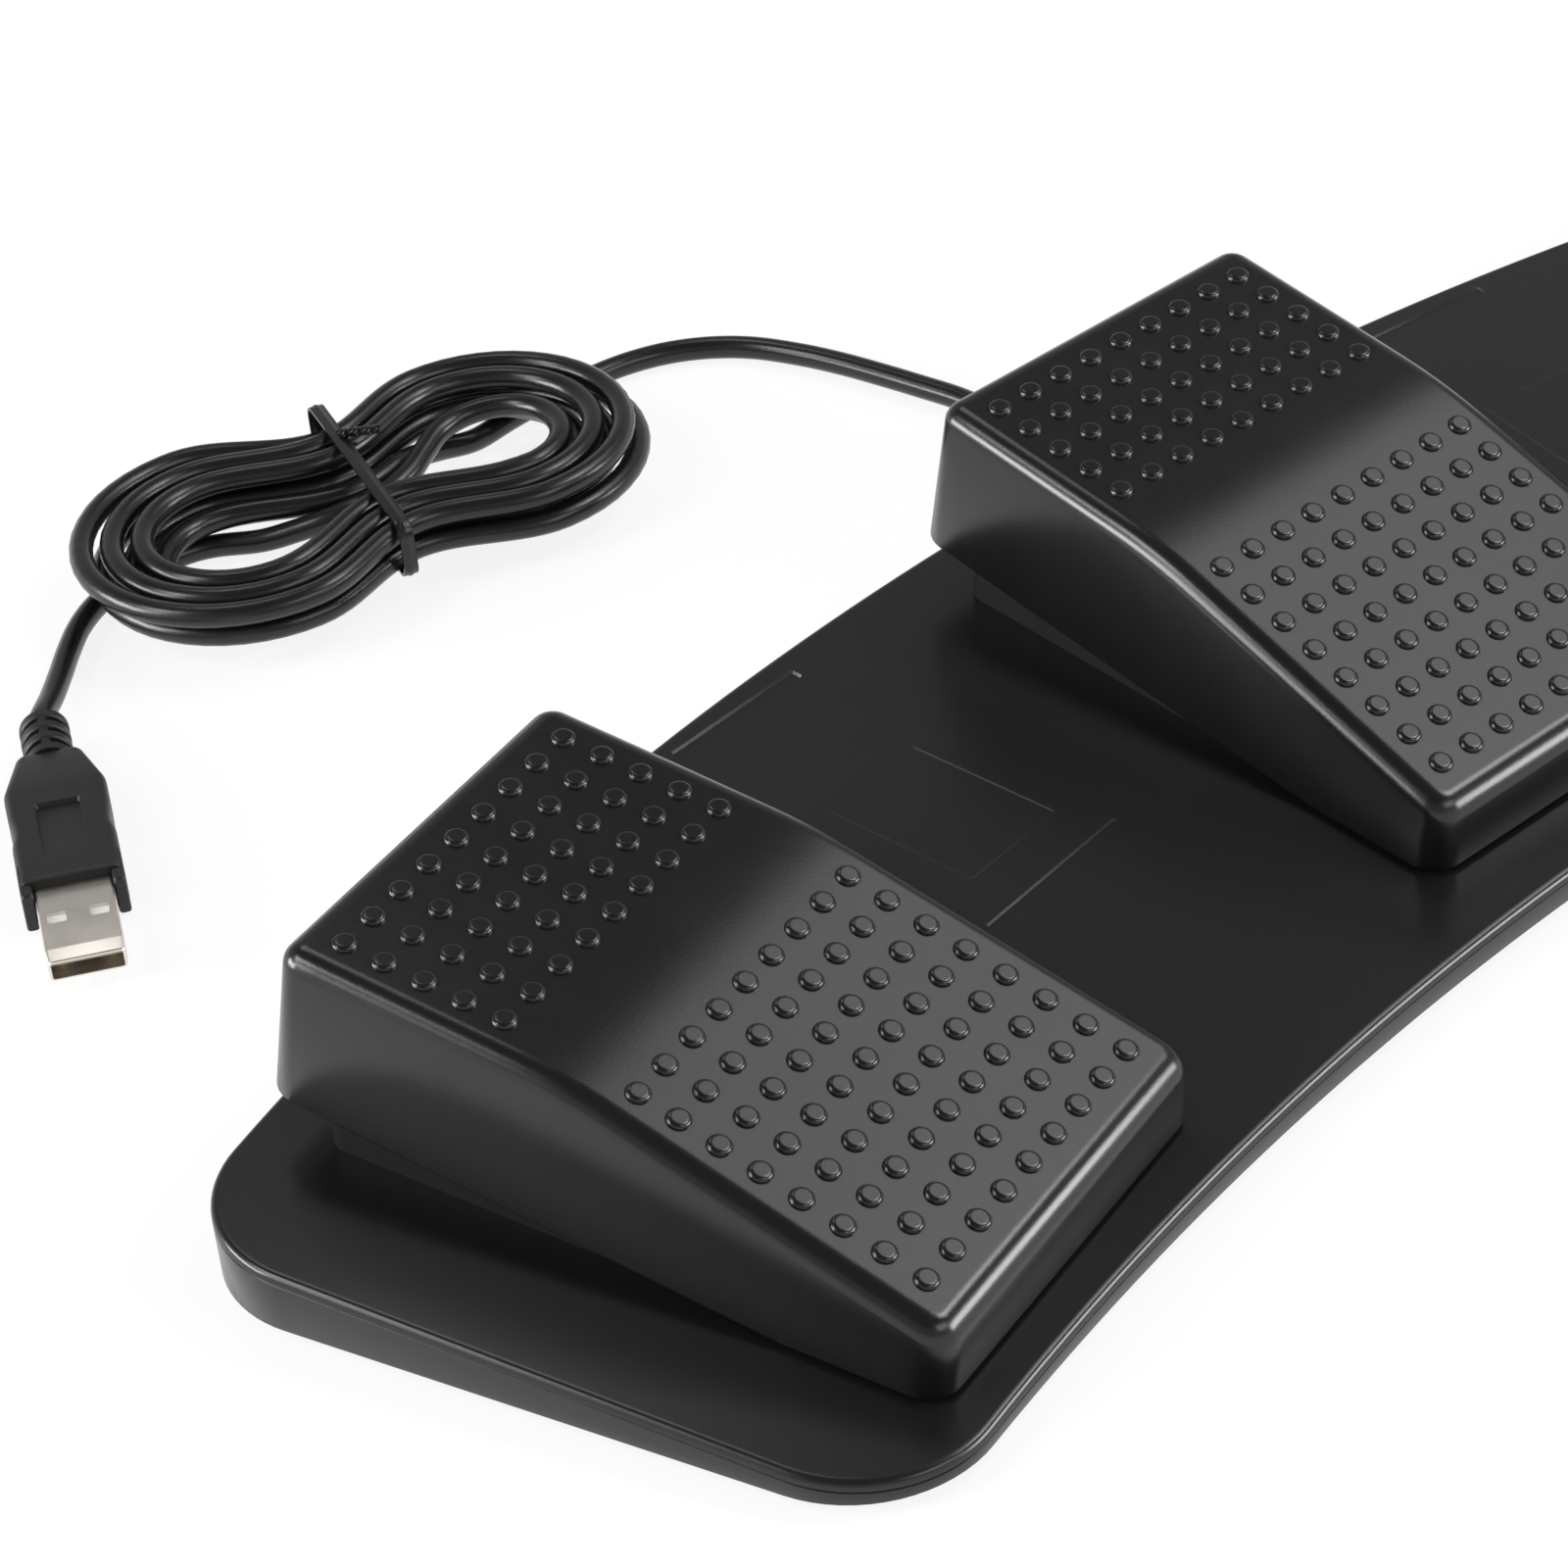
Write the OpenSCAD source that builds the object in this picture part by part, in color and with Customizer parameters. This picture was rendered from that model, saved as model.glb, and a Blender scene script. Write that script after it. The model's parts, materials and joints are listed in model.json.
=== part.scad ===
// Triple USB foot pedal switch: three hinged pedals fanned on one wedge-shaped base,
// with a tied cord and its plug. Millimetres, +Z up, +Y away from the user,
// origin on the floor under the middle of the base.

/* [Base] */
// Width of the base across its rear corners
base_w = 410; // [400:1:430]
// Depth of the base, from its front corners to the middle of its rear edge
base_d = 148; // [146:1:160]
// Height of the base's front edge
base_front_h = 3.4; // [3.2:0.1:6]
// Slope of the base's top, in degrees
base_tilt = 4; // [3.6:0.1:5]
// Radius of the rear and front edges
base_arc_r = 550; // [520:5:600]
// Radius of the base's corners
base_corner_r = 20; // [16:1:24]
// Angle of the base's side edges, in degrees
base_side_angle = 17.5; // [16:0.5:19]
// Thickness of the base's top and of its rim ledge
base_wall = 2.4; // [2:0.1:2.8]
// Width of the solid rim round the cavity
base_rim_w = 5; // [4:0.5:7]
// Distance from the cavity's front edge to the first pedal screws
nose_clear = 7; // [6:0.5:9]
// Depth of the shallow marks on the base's top
mark_depth = 0.4; // [0.2:0.1:0.8]

/* [Bottom cover and feet] */
// Thickness of the bottom cover
bottom_t = 1.5; // [1.2:0.1:1.8]
// Width of the ledge that the bottom cover lies on
bottom_ledge = 2; // [1.5:0.1:2.5]
// Gap round the bottom cover
bottom_gap = 0.3; // [0.2:0.05:0.5]
// Height of the feet below the base
foot_h = 1.5; // [1:0.1:3]
// Diameter of a foot
foot_dia = 16; // [12:1:18]
// Depth of a foot's seat
foot_seat = 0.5; // [0.3:0.1:0.8]

/* [Pedals] */
// Distance of a side pedal's middle from the base's widest point
side_pedal_inset = 77; // [75:1:80]
// Distance of a side pedal from the middle one, to the front
side_pedal_y = 19.4; // [18:0.1:21]
// Turn of a side pedal, in degrees
side_pedal_yaw = 15.3; // [14:0.1:16]
// Distance from the base's rear edge to a middle pedal's first row of studs
pedal_setback = 106.5; // [105:0.5:110]
// Width of a pedal cover at its lower edge
cover_w = 67.6; // [64:0.2:72]
// Length of a pedal cover at its lower edge
cover_l = 108.4; // [106:0.2:112]
// Height of a pedal cover's level rear part over its hinge
cover_h = 20.7; // [19:0.1:24]
// Angle between the front and rear parts of a pedal cover, in degrees
cover_bend = 10.7; // [9:0.1:12]
// Distance from the hinge to the bend of a pedal cover
cover_bend_v = 40.4; // [38:0.2:44]
// Half length of the soft bend
cover_bend_soft = 8; // [4:0.5:10]
// Wall of a pedal cover
cover_wall = 2.2; // [1.8:0.1:2.4]
// Draft of a pedal cover's sides, in degrees
cover_draft = 3.2; // [2:0.1:4]
// Fillet along a pedal cover's top edges
cover_fillet = 3; // [2:0.1:4]
// Radius of a pedal cover's upright corners
cover_corner_r = 5; // [4:0.1:7]
// Depth of a pedal cover's skirt below its hinge
cover_skirt = 4.8; // [4.4:0.1:4.9]
// Diameter of a stud on a pedal cover
stud_dia = 3.7; // [3:0.1:4.4]
// Height of a stud
stud_h = 0.7; // [0.4:0.1:1.2]
// Pitch of the studs
stud_pitch = 6.5; // [6:0.1:6.6]
// Studs across a pedal cover
stud_columns = 9; // [7:1:9]
// Rows of studs on the front part
stud_rows_front = 8; // [6:1:8]
// Rows of studs on the rear part
stud_rows_rear = 5; // [3:1:5]

/* [Hinge and switch] */
// Distance of a pedal's hinge behind its first row of studs
hinge_y = 14; // [13:0.2:15]
// Height of a pedal's hinge over the base
hinge_z = 5; // [4.9:0.1:5.4]
// Diameter of a hinge pin
pin_dia = 3; // [2.6:0.1:3.2]
// Running gap round a hinge pin
pin_gap = 0.08; // [0.05:0.01:0.12]
// Angle of a pedal cover at rest, in degrees
rest_tilt = 6; // [5.8:0.1:6.2]
// Travel of a pedal cover, in degrees
pedal_travel = 4.5; // [3:0.1:4.6]
// Floor of a pedal base
tray_floor = 1.5; // [1.2:0.1:1.8]
// Wall of a pedal base
tray_wall = 1.8; // [1.4:0.1:2.2]
// Gap between a pedal base and its cover's sides
tray_gap = 1; // [0.8:0.1:1.6]
// Length of a switch
switch_l = 20; // [19:0.2:21]
// Width of a switch
switch_w = 6.4; // [6:0.1:8]
// Height of a switch
switch_h = 10.2; // [9.6:0.1:10.6]
// Rest angle of a switch lever, in degrees
lever_rest = 6; // [5:0.1:7]
// Distance from a lever's pivot to the cover's press post
lever_arm = 16; // [15:0.2:17]
// Thickness of a lever
lever_t = 0.5; // [0.4:0.05:0.7]
// Gap that keeps moving pieces apart
move_gap = 0.3; // [0.2:0.05:0.5]
// Mean radius of a return spring
spring_r = 5.6; // [5:0.1:6.5]
// Wire of a return spring
spring_wire = 1.3; // [1:0.1:1.6]
// Turns of a return spring
spring_turns = 6; // [4:1:7]
// Length of a return spring at rest
spring_l = 21; // [19:0.5:22]

/* [Cord and plug] */
// Diameter of the cord
cord_dia = 4; // [3.6:0.1:4.2]
// Offset of the cord's exit from the middle of the rear edge
exit_x = 24; // [18:1:26]
// Height of the cord's exit over the floor
exit_z = 8; // [7:0.2:9]
// Length of the cord's strain relief outside the base
relief_l = 18; // [14:1:20]
// Half width of the hank's outer loop
hank_half_w = 27.5; // [27.5:0.5:32]
// Half length of the hank's straight runs
hank_run = 23; // [23:0.5:28]
// Step from loop to loop
hank_step = 5.05; // [4.9:0.05:5.2]
// Height from one layer of loops to the next
hank_layer = 4.6; // [4.5:0.05:5]
// How far the tie draws the loops in
hank_waist = 7.6; // [4:0.2:7.6]
// Height of the hank over the floor, where the cord's ends pass under it
hank_lift = 4.5; // [4.4:0.1:5]
// Width of the plug's grip
plug_w = 16; // [15:0.2:17]
// Thickness of the plug's grip
plug_t = 8; // [7.6:0.1:9]
// Length of the plug's grip with its cheeks
plug_l = 41; // [38:0.5:44]
// Length of the plug's ribbed neck
neck_l = 11; // [9:0.5:14]
// Width of the plug's metal shell
shell_w = 12; // [12:0.1:12]
// Height of the plug's metal shell
shell_h = 4.5; // [4.5:0.1:4.5]
// Length of metal shell outside the grip's collar
shell_l = 18.7; // [17:0.1:19]

/* [Hidden] */

LEFT = -1;
MIDDLE = 0;
RIGHT = 1;
overlap = 0.05;
round_fn = 48;

// Base outline: a rear arc, a front arc and two slanted sides, with concentric corners.
rear_y = base_d / 2;
rear_centre = [0, rear_y - base_arc_r];
side_normal = [-cos(base_side_angle), -sin(base_side_angle)];
rear_corner_x = base_corner_r - base_w / 2;
rear_corner = [
    rear_corner_x,
    rear_centre[1] + sqrt(pow(base_arc_r - base_corner_r, 2) - pow(rear_corner_x, 2))
];
front_corner_y = base_corner_r - base_d / 2;
front_corner_x = -(side_normal * rear_corner + sin(base_side_angle) * front_corner_y)
    / cos(base_side_angle);
front_corner = [front_corner_x, front_corner_y];
front_centre = [
    0,
    front_corner_y - sqrt(pow(base_arc_r + base_corner_r, 2) - pow(front_corner_x, 2))
];
front_apex = front_centre[1] + base_arc_r;

function arc_points(centre, r, from, to, steps) = [
    for (i = [0:steps])
        let (a = from + (to - from) * i / steps)
        centre + r * [cos(a), sin(a)]
];

function bearing(p) = atan2(p[1], p[0]);

// Left half of the base outline, drawn in by an inset, from the front middle to the rear middle.
function base_half(inset) = concat(
    arc_points(front_centre, base_arc_r + inset, 90, bearing(front_corner - front_centre), 16),
    arc_points(front_corner, base_corner_r - inset,
        bearing(front_centre - front_corner), bearing(side_normal), 8),
    arc_points(rear_corner, base_corner_r - inset,
        360 + bearing(side_normal), bearing(rear_corner - rear_centre), 10),
    arc_points(rear_centre, base_arc_r - inset, bearing(rear_corner - rear_centre), 90, 20)
);

function mirrored(points) = [for (i = [len(points) - 2:-1:1]) [-points[i][0], points[i][1]]];

function base_outline(inset) = let (half = base_half(inset)) concat(half, mirrored(half));

// Height of the base's top over the floor.
function top_z(y) = foot_h + base_front_h + (y + base_d / 2) * tan(base_tilt);

// Places of the three pedals on the base.
pedal_y = rear_y - pedal_setback;
side_pedal_x = base_w / 2 - side_pedal_inset;
function pedal_spot(side) = [side * side_pedal_x, pedal_y - abs(side) * side_pedal_y];

// A point of a pedal's frame in the frame of the whole.
function in_world(side, p) =
    let (
        c = cos(-side * side_pedal_yaw),
        s = sin(-side * side_pedal_yaw),
        x = c * p[0] - s * p[1],
        y = s * p[0] + c * p[1],
        spot = pedal_spot(side)
    )
    [
        spot[0] + x,
        spot[1] + y * cos(base_tilt) - p[2] * sin(base_tilt),
        top_z(spot[1]) + y * sin(base_tilt) + p[2] * cos(base_tilt)
    ];

// Screws that hold a pedal base, in the pedal's frame.
pedal_screw_x = 21;
pedal_screw_ys = [40, 74];
pedal_screw_spots = [for (x = [-pedal_screw_x, pedal_screw_x]) for (y = pedal_screw_ys) [x, y]];

// Radius of the cavity's front edge: ahead of every pedal screw.
function flat(p) = [p[0], p[1]];
nose_r = min([
    for (side = [LEFT, MIDDLE, RIGHT])
        for (p = pedal_screw_spots)
            norm(flat(in_world(side, [p[0], p[1], 0])) - front_centre)
]) - nose_clear;

// Puts children on the base's top at a plan spot, level with the base's slope.
module on_top(spot) {
    translate([spot[0], spot[1], top_z(spot[1])])
        rotate([base_tilt, 0, 0])
        children();
}

// Puts children in the frame of one pedal.
module at_pedal(side) {
    on_top(pedal_spot(side))
        rotate([0, 0, -side * side_pedal_yaw])
        children();
}

// Puts children in the frame of a pedal's cover: origin on the hinge, level with its rear part.
module at_cover(side) {
    at_pedal(side)
        translate([0, hinge_y, hinge_z])
        rotate([rest_tilt, 0, 0])
        children();
}

// Everything below the sloped top, lowered by a drop.
module below_top(drop) {
    reach = 2 * base_w;
    translate([0, 0, top_z(0) - drop])
        rotate([base_tilt, 0, 0])
        translate([-reach / 2, -reach / 2, -reach])
        cube(reach);
}

// Plan of the cavity in the base, with an extra inset.
module cavity_plan(inset) {
    difference() {
        polygon(base_outline(base_rim_w + inset));
        translate(front_centre)
            circle(r = nose_r + inset, $fn = 720);
    }
}

// Spots of the screws that hold the bottom cover, in a front row and a rear row.
screw_head_r = 2.7;
screw_r = 1.45;
pilot_r = 1.5;
head_t = 1.8;
cover_boss_r = 3.6;
cover_front_row_in = 9;
cover_rear_row_in = 15;
cover_front_side_in = 28;
cover_rear_side_in = 35;
cover_front_row_x = [base_w / 2 - cover_front_side_in, 0.625 * side_pedal_x];
cover_rear_row_x = [base_w / 2 - cover_rear_side_in, 0.68 * side_pedal_x];
function on_arc(centre, r, x) = [x, centre[1] + sqrt(r * r - x * x)];
cover_spots = [
    for (side = [LEFT, RIGHT])
        for (i = [0, 1])
            for (p = [
                on_arc(front_centre, nose_r + cover_front_row_in, side * cover_front_row_x[i]),
                on_arc(rear_centre, base_arc_r - cover_rear_row_in, side * cover_rear_row_x[i])
            ]) p
];

// Spots of the feet: on the solid front part and on the bottom cover.
foot_margin = foot_dia / 2 + 6;
foot_spots = [
    [front_corner[0], -base_d / 2 + foot_margin],
    [0, front_apex + foot_margin],
    [-front_corner[0], -base_d / 2 + foot_margin],
    [rear_corner[0] + 8, rear_corner[1] - 10],
    [0, rear_y - base_rim_w - foot_margin],
    [-rear_corner[0] - 8, rear_corner[1] - 10]
];

tray_boss_r = 3.6;
tray_boss_h = 7;

// Hole for the switch lead, in the pedal's frame.
lead_hole_r = 3;
lead_hole_y = 58;

// Shallow marks of the moulding between the pedals: a slot, a panel and a fine line.
slot_mark = [27, 2.4];
slot_mark_in = 10.5;
slot_mark_angle = 5.2;
panel_mark = [20, 27];
panel_mark_in = 50;
panel_mark_angle = 8;
line_mark = [30.6, 0.5];
line_mark_in = 71.8;
line_mark_angle = 8.6;
slot_mark_x = 0.6 * side_pedal_x;
panel_mark_x = 0.56 * side_pedal_x;
line_mark_x = 0.55 * side_pedal_x;

module base_mark(side, x, in, angle, size, depth) {
    on_top([side * x, rear_y - in])
        rotate([0, 0, -side * angle])
        translate([-size[0] / 2, -size[1] / 2, -depth])
        cube([size[0], size[1], 2]);
}

module base_marks() {
    for (side = [LEFT, RIGHT]) {
        base_mark(side, slot_mark_x, slot_mark_in, slot_mark_angle, slot_mark, mark_depth);
        base_mark(side, panel_mark_x, panel_mark_in, panel_mark_angle, panel_mark, mark_depth / 2);
        base_mark(side, line_mark_x, line_mark_in, line_mark_angle, line_mark, mark_depth);
    }
}

module pedal_holes(side) {
    at_pedal(side) {
        for (p = pedal_screw_spots)
            translate([p[0], p[1], -2 * base_wall])
                cylinder(r = pilot_r, h = 3 * base_wall, $fn = round_fn);
        translate([0, lead_hole_y, -2 * base_wall])
            cylinder(r = lead_hole_r, h = 3 * base_wall, $fn = round_fn);
    }
}

relief_flange_r = 5.5;
relief_flange_t = 2;
relief_seat_r = 4;

module base_plate() {
    color("#1c1c1e")
    difference() {
        union() {
            difference() {
                intersection() {
                    translate([0, 0, foot_h])
                        linear_extrude(base_d)
                        polygon(base_outline(0));
                    below_top(0);
                }
                intersection() {
                    translate([0, 0, foot_h - 1])
                        linear_extrude(base_d)
                        cavity_plan(0);
                    below_top(base_wall);
                }
                translate([0, 0, foot_h - 1])
                    linear_extrude(1 + bottom_t)
                    cavity_plan(-bottom_ledge);
            }
            intersection() {
                for (p = cover_spots)
                    translate([p[0], p[1], foot_h + bottom_t])
                        cylinder(r = cover_boss_r, h = base_d, $fn = round_fn);
                below_top(base_wall / 2);
            }
        }
        for (p = cover_spots)
            translate([p[0], p[1], 0])
                cylinder(r = pilot_r, h = top_z(p[1]) - base_wall - 0.6, $fn = round_fn);
        for (side = [LEFT, MIDDLE, RIGHT])
            pedal_holes(side);
        for (i = [0:2])
            translate([foot_spots[i][0], foot_spots[i][1], 0])
                cylinder(d = foot_dia + 2 * bottom_gap, h = foot_h + foot_seat, $fn = round_fn);
        translate([exit_x, rear_y + 1, exit_z])
            rotate([90, 0, 0])
            cylinder(r = relief_seat_r + overlap, h = base_rim_w + 3, $fn = round_fn);
        base_marks();
    }
}

board_w = 50;
board_l = 26;
board_t = 1.6;
standoff_h = 2;
standoff_r = 2.6;
board_centre = [0, rear_y - base_rim_w - 4 - board_l / 2];
board_z = foot_h + bottom_t + standoff_h;
board_hole_spots = [
    for (x = [-1, 1])
        for (y = [-1, 1])
            board_centre + [x * (board_w / 2 - 4), y * (board_l / 2 - 4)]
];
board_screw_r = 0.95;
board_pilot_r = 1;
board_head_r = 1.9;
board_head_t = 1.2;

module bottom_cover() {
    color("#232325")
    difference() {
        union() {
            translate([0, 0, foot_h])
                linear_extrude(bottom_t)
                cavity_plan(bottom_gap - bottom_ledge);
            for (p = board_hole_spots)
                translate([p[0], p[1], foot_h + bottom_t - overlap])
                    cylinder(r = standoff_r, h = standoff_h + overlap, $fn = round_fn);
        }
        for (p = cover_spots)
            translate([p[0], p[1], 0])
                cylinder(r = pilot_r + 0.2, h = foot_h + 2 * bottom_t, $fn = round_fn);
        for (p = board_hole_spots)
            translate([p[0], p[1], foot_h + 0.5])
                cylinder(r = board_pilot_r, h = bottom_t + standoff_h, $fn = round_fn);
        for (i = [3:5])
            translate([foot_spots[i][0], foot_spots[i][1], 0])
                cylinder(d = foot_dia + 2 * bottom_gap, h = foot_h + foot_seat, $fn = round_fn);
    }
}

// A pan-head screw with a cross slot, head down, its head's face on the floor of the frame.
module screw(shank_r, shank_l, head_r, head_h) {
    difference() {
        union() {
            cylinder(r = head_r, h = head_h, $fn = round_fn);
            translate([0, 0, head_h - overlap])
                cylinder(r = shank_r, h = shank_l + overlap, $fn = round_fn);
        }
        for (a = [0, 90])
            rotate([0, 0, a])
                translate([-head_r * 0.6, -head_r * 0.12, -overlap])
                cube([head_r * 1.2, head_r * 0.24, head_h * 0.5]);
    }
}

cover_screw_head_t = 1.2;

module cover_screws() {
    color("#9a9a9c")
    for (p = cover_spots)
        translate([p[0], p[1], foot_h - cover_screw_head_t])
            screw(screw_r, bottom_t + 1.6, screw_head_r, cover_screw_head_t);
}

module rubber_feet() {
    color("#101011")
    for (p = foot_spots)
        translate([p[0], p[1], 0])
            cylinder(d = foot_dia, h = foot_h + foot_seat, $fn = round_fn);
}

// Pedal cover: front and rear ends along the cover's own length, at its lower edge.
cover_front_v = -20.9;
cover_rear_v = cover_front_v + cover_l;
skirt_knee_v = 3.5;
cover_front_slope = tan(cover_bend);

// Top of the cover at a distance from its hinge, with a soft bend.
function cover_front_top(v) = cover_h + (v - cover_bend_v) * cover_front_slope;
function cover_top(v) =
    let (t = v - cover_bend_v + cover_bend_soft)
    t <= 0 ? cover_front_top(v)
    : t >= 2 * cover_bend_soft ? cover_h
    : cover_front_top(v) - cover_front_slope * t * t / (4 * cover_bend_soft);

// Lower edge of the cover: level with the rear part, and with the base in front of the knee.
function cover_low(v) = -cover_skirt + max(0, skirt_knee_v - v) * tan(rest_tilt);

function draft_at(w) = max(0, w + cover_skirt) * tan(cover_draft);

bend_vs = [for (k = [-2:2]) cover_bend_v + k * cover_bend_soft / 2];
corner_steps = 4;

// Right half of the cover's plan at an inset, from front to rear.
function cover_half(inset) =
    let (
        x = cover_w / 2 - cover_corner_r,
        r = max(0.4, cover_corner_r - inset),
        slack = max(0, inset - cover_corner_r + 0.4)
    )
    concat(
        arc_points([x - slack, cover_front_v + cover_corner_r + slack], r, -90, 0, corner_steps),
        [for (v = bend_vs) [x - slack + r, v]],
        arc_points([x - slack, cover_rear_v - cover_corner_r - slack], r, 0, 90, corner_steps)
    );

cover_half_count = 2 * (corner_steps + 1) + len(bend_vs);
cover_edge = cover_half(0);

function whole_ring(half) = concat(
    half,
    [for (i = [len(half) - 1:-1:0]) [-half[i][0], half[i][1], half[i][2]]]
);

// A ring of the cover's skin: drawn in from the drafted wall, and dropped from the top.
function skin_ring(inset, drop) = whole_ring([
    for (i = [0:cover_half_count - 1])
        let (
            w0 = cover_top(cover_edge[i][1]) - drop,
            p = cover_half(inset + draft_at(w0))[i]
        )
        [p[0], p[1], cover_top(p[1]) - drop]
]);

function low_ring(inset) = whole_ring([
    for (p = cover_half(inset)) [p[0], p[1], cover_low(p[1])]
]);

fillet_angles = [0, 30, 60, 90];
cover_rings = concat(
    [low_ring(0)],
    [for (a = fillet_angles) skin_ring(cover_fillet * (1 - cos(a)), cover_fillet * (1 - sin(a)))],
    [low_ring(cover_wall), skin_ring(cover_wall, cover_wall)]
);
outer_rings = 1 + len(fillet_angles);
ring_n = 2 * cover_half_count;

function ring_point(ring, i) = ring * ring_n + (i % ring_n);

function band_faces(a, b) = [
    for (i = [0:ring_n - 1])
        for (f = [
            [ring_point(a, i), ring_point(b, i), ring_point(b, i + 1)],
            [ring_point(a, i), ring_point(b, i + 1), ring_point(a, i + 1)]
        ]) f
];

function cap_faces(ring) = [
    for (i = [0:cover_half_count - 2])
        let (
            right = ring_point(ring, i),
            left = ring_point(ring, ring_n - 1 - i),
            next_right = ring_point(ring, i + 1),
            next_left = ring_point(ring, ring_n - 2 - i)
        )
        for (f = [[right, left, next_left], [right, next_left, next_right]]) f
];

function flipped(faces) = [for (f = faces) [f[0], f[2], f[1]]];

cover_faces = concat(
    [for (k = [0:outer_rings - 2]) for (f = band_faces(k, k + 1)) f],
    cap_faces(outer_rings - 1),
    flipped(band_faces(outer_rings, outer_rings + 1)),
    flipped(cap_faces(outer_rings + 1)),
    flipped(band_faces(0, outer_rings))
);

module cover_shell() {
    polyhedron(
        points = [for (ring = cover_rings) for (p = ring) p],
        faces = cover_faces,
        convexity = 6
    );
}

// First row of studs: straight over the pedal's own origin, on the front part.
stud_sink = 0.3;
first_stud_stand = 14.2;
first_stud_v = -hinge_y * cos(rest_tilt) + (first_stud_stand - hinge_z) * sin(rest_tilt);
rear_stud_gap = 12.5;
first_rear_stud_v = cover_bend_v + rear_stud_gap;

module stud_row(rows) {
    for (row = [0:rows - 1])
        for (column = [0:stud_columns - 1])
            translate([(column - (stud_columns - 1) / 2) * stud_pitch, row * stud_pitch, -stud_sink])
                cylinder(d = stud_dia, h = stud_h + stud_sink, $fn = 24);
}

module studs() {
    translate([0, first_stud_v, cover_front_top(first_stud_v)])
        rotate([cover_bend, 0, 0])
        stud_row(stud_rows_front);
    translate([0, first_rear_stud_v, cover_h])
        stud_row(stud_rows_rear);
}

// Places inside a pedal, in the pedal's frame.
lug_x = 20;
lug_t = 4;
lug_r = 3;
switch_front_y = 31;
switch_base_z = tray_floor;
lever_pivot = [switch_front_y + 2.5, switch_base_z + switch_h + 1.6];
press_tip = [
    lever_pivot[0] + lever_arm * cos(lever_rest),
    lever_pivot[1] + lever_arm * sin(lever_rest) + lever_t / 2 + move_gap
];
spring_y = 82;
bumper_x = 22;
bumper_y = 86;
bumper_r = 4;
bumper_h = 5;

// A point of the pedal's frame as distances along and over the cover's own frame.
function in_cover(y, z) = [
    (y - hinge_y) * cos(rest_tilt) + (z - hinge_z) * sin(rest_tilt),
    -(y - hinge_y) * sin(rest_tilt) + (z - hinge_z) * cos(rest_tilt)
];

// Height lost over the base by a point of the cover at full travel.
function travel_drop(v) = v * (sin(rest_tilt) - sin(rest_tilt - pedal_travel));

post_r = 1.6;
spring_seat_r = spring_r + spring_wire;
spring_pin_gap = 1.2;
spring_pin_r = spring_r - spring_wire / 2 - spring_pin_gap;
spring_pin_l = 4;
spring_top = in_cover(spring_y, tray_floor + spring_l);
bumper_post = in_cover(bumper_y, tray_floor + bumper_h + move_gap + travel_drop(bumper_y - hinge_y));
press_post = in_cover(press_tip[0], press_tip[1]);
seat_relief = spring_seat_r * tan(rest_tilt) + move_gap;

// A round post that hangs from the cover's underside down to a height.
module hanging_post(x, at, r) {
    translate([x, at[0], at[1]])
        cylinder(r = r, h = cover_top(at[0]) - cover_wall - at[1] + cover_wall / 2, $fn = round_fn);
}

module hinge_lug(x) {
    translate([x - lug_t / 2, 0, 0]) {
        rotate([90, 0, 90])
            cylinder(r = lug_r, h = lug_t, $fn = round_fn);
        translate([0, -lug_r, 0])
            cube([lug_t, 2 * lug_r, cover_top(-lug_r) - cover_wall / 2]);
    }
}

module pedal_cover(side) {
    color("#2a2b2e")
    at_cover(side)
    difference() {
        union() {
            cover_shell();
            studs();
            for (x = [-lug_x, lug_x])
                hinge_lug(x);
            hanging_post(0, press_post, post_r);
            hanging_post(0, [spring_top[0], spring_top[1] + seat_relief], spring_seat_r);
            hanging_post(0, [spring_top[0], spring_top[1] + seat_relief - spring_pin_l], spring_pin_r);
            for (x = [-bumper_x, bumper_x])
                hanging_post(x, bumper_post, bumper_r * 0.7);
        }
        translate([-cover_w / 2, 0, 0])
            rotate([90, 0, 90])
            translate([0, 0, cover_w / 2 - lug_x - lug_t])
            cylinder(d = pin_dia + 2 * pin_gap, h = 2 * (lug_x + lug_t), $fn = round_fn);
    }
}

// Pedal base: an open tray inside the cover's skirt.
tray_half_w = cover_w / 2 - cover_wall - tray_gap;
tray_front_y = hinge_y + cover_front_v + cover_wall + 2.5;
tray_rear_y = hinge_y + cover_rear_v - cover_wall - 5;
tray_corner_r = 3;
tray_front_h = 7.5;
tray_rear_h = 15;

module rounded_plan(x, y0, y1, r) {
    for (cx = [-x + r, x - r])
        for (cy = [y0 + r, y1 - r])
            translate([cx, cy])
                circle(r = r, $fn = round_fn);
    translate([-x + r, y0])
        square([2 * (x - r), y1 - y0]);
    translate([-x, y0 + r])
        square([2 * x, y1 - y0 - 2 * r]);
}

module tray_sides() {
    rotate([90, 0, 90])
        translate([0, 0, -tray_half_w - 1])
        linear_extrude(2 * tray_half_w + 2)
        polygon([
            [tray_front_y - 1, 0],
            [tray_rear_y + 1, 0],
            [tray_rear_y + 1, tray_rear_h],
            [tray_front_y - 1, tray_front_h]
        ]);
}

switch_peg_r = 1.1;
switch_peg_ys = [switch_front_y + 5, switch_front_y + switch_l - 5];
switch_peg_h = 5;

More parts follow.
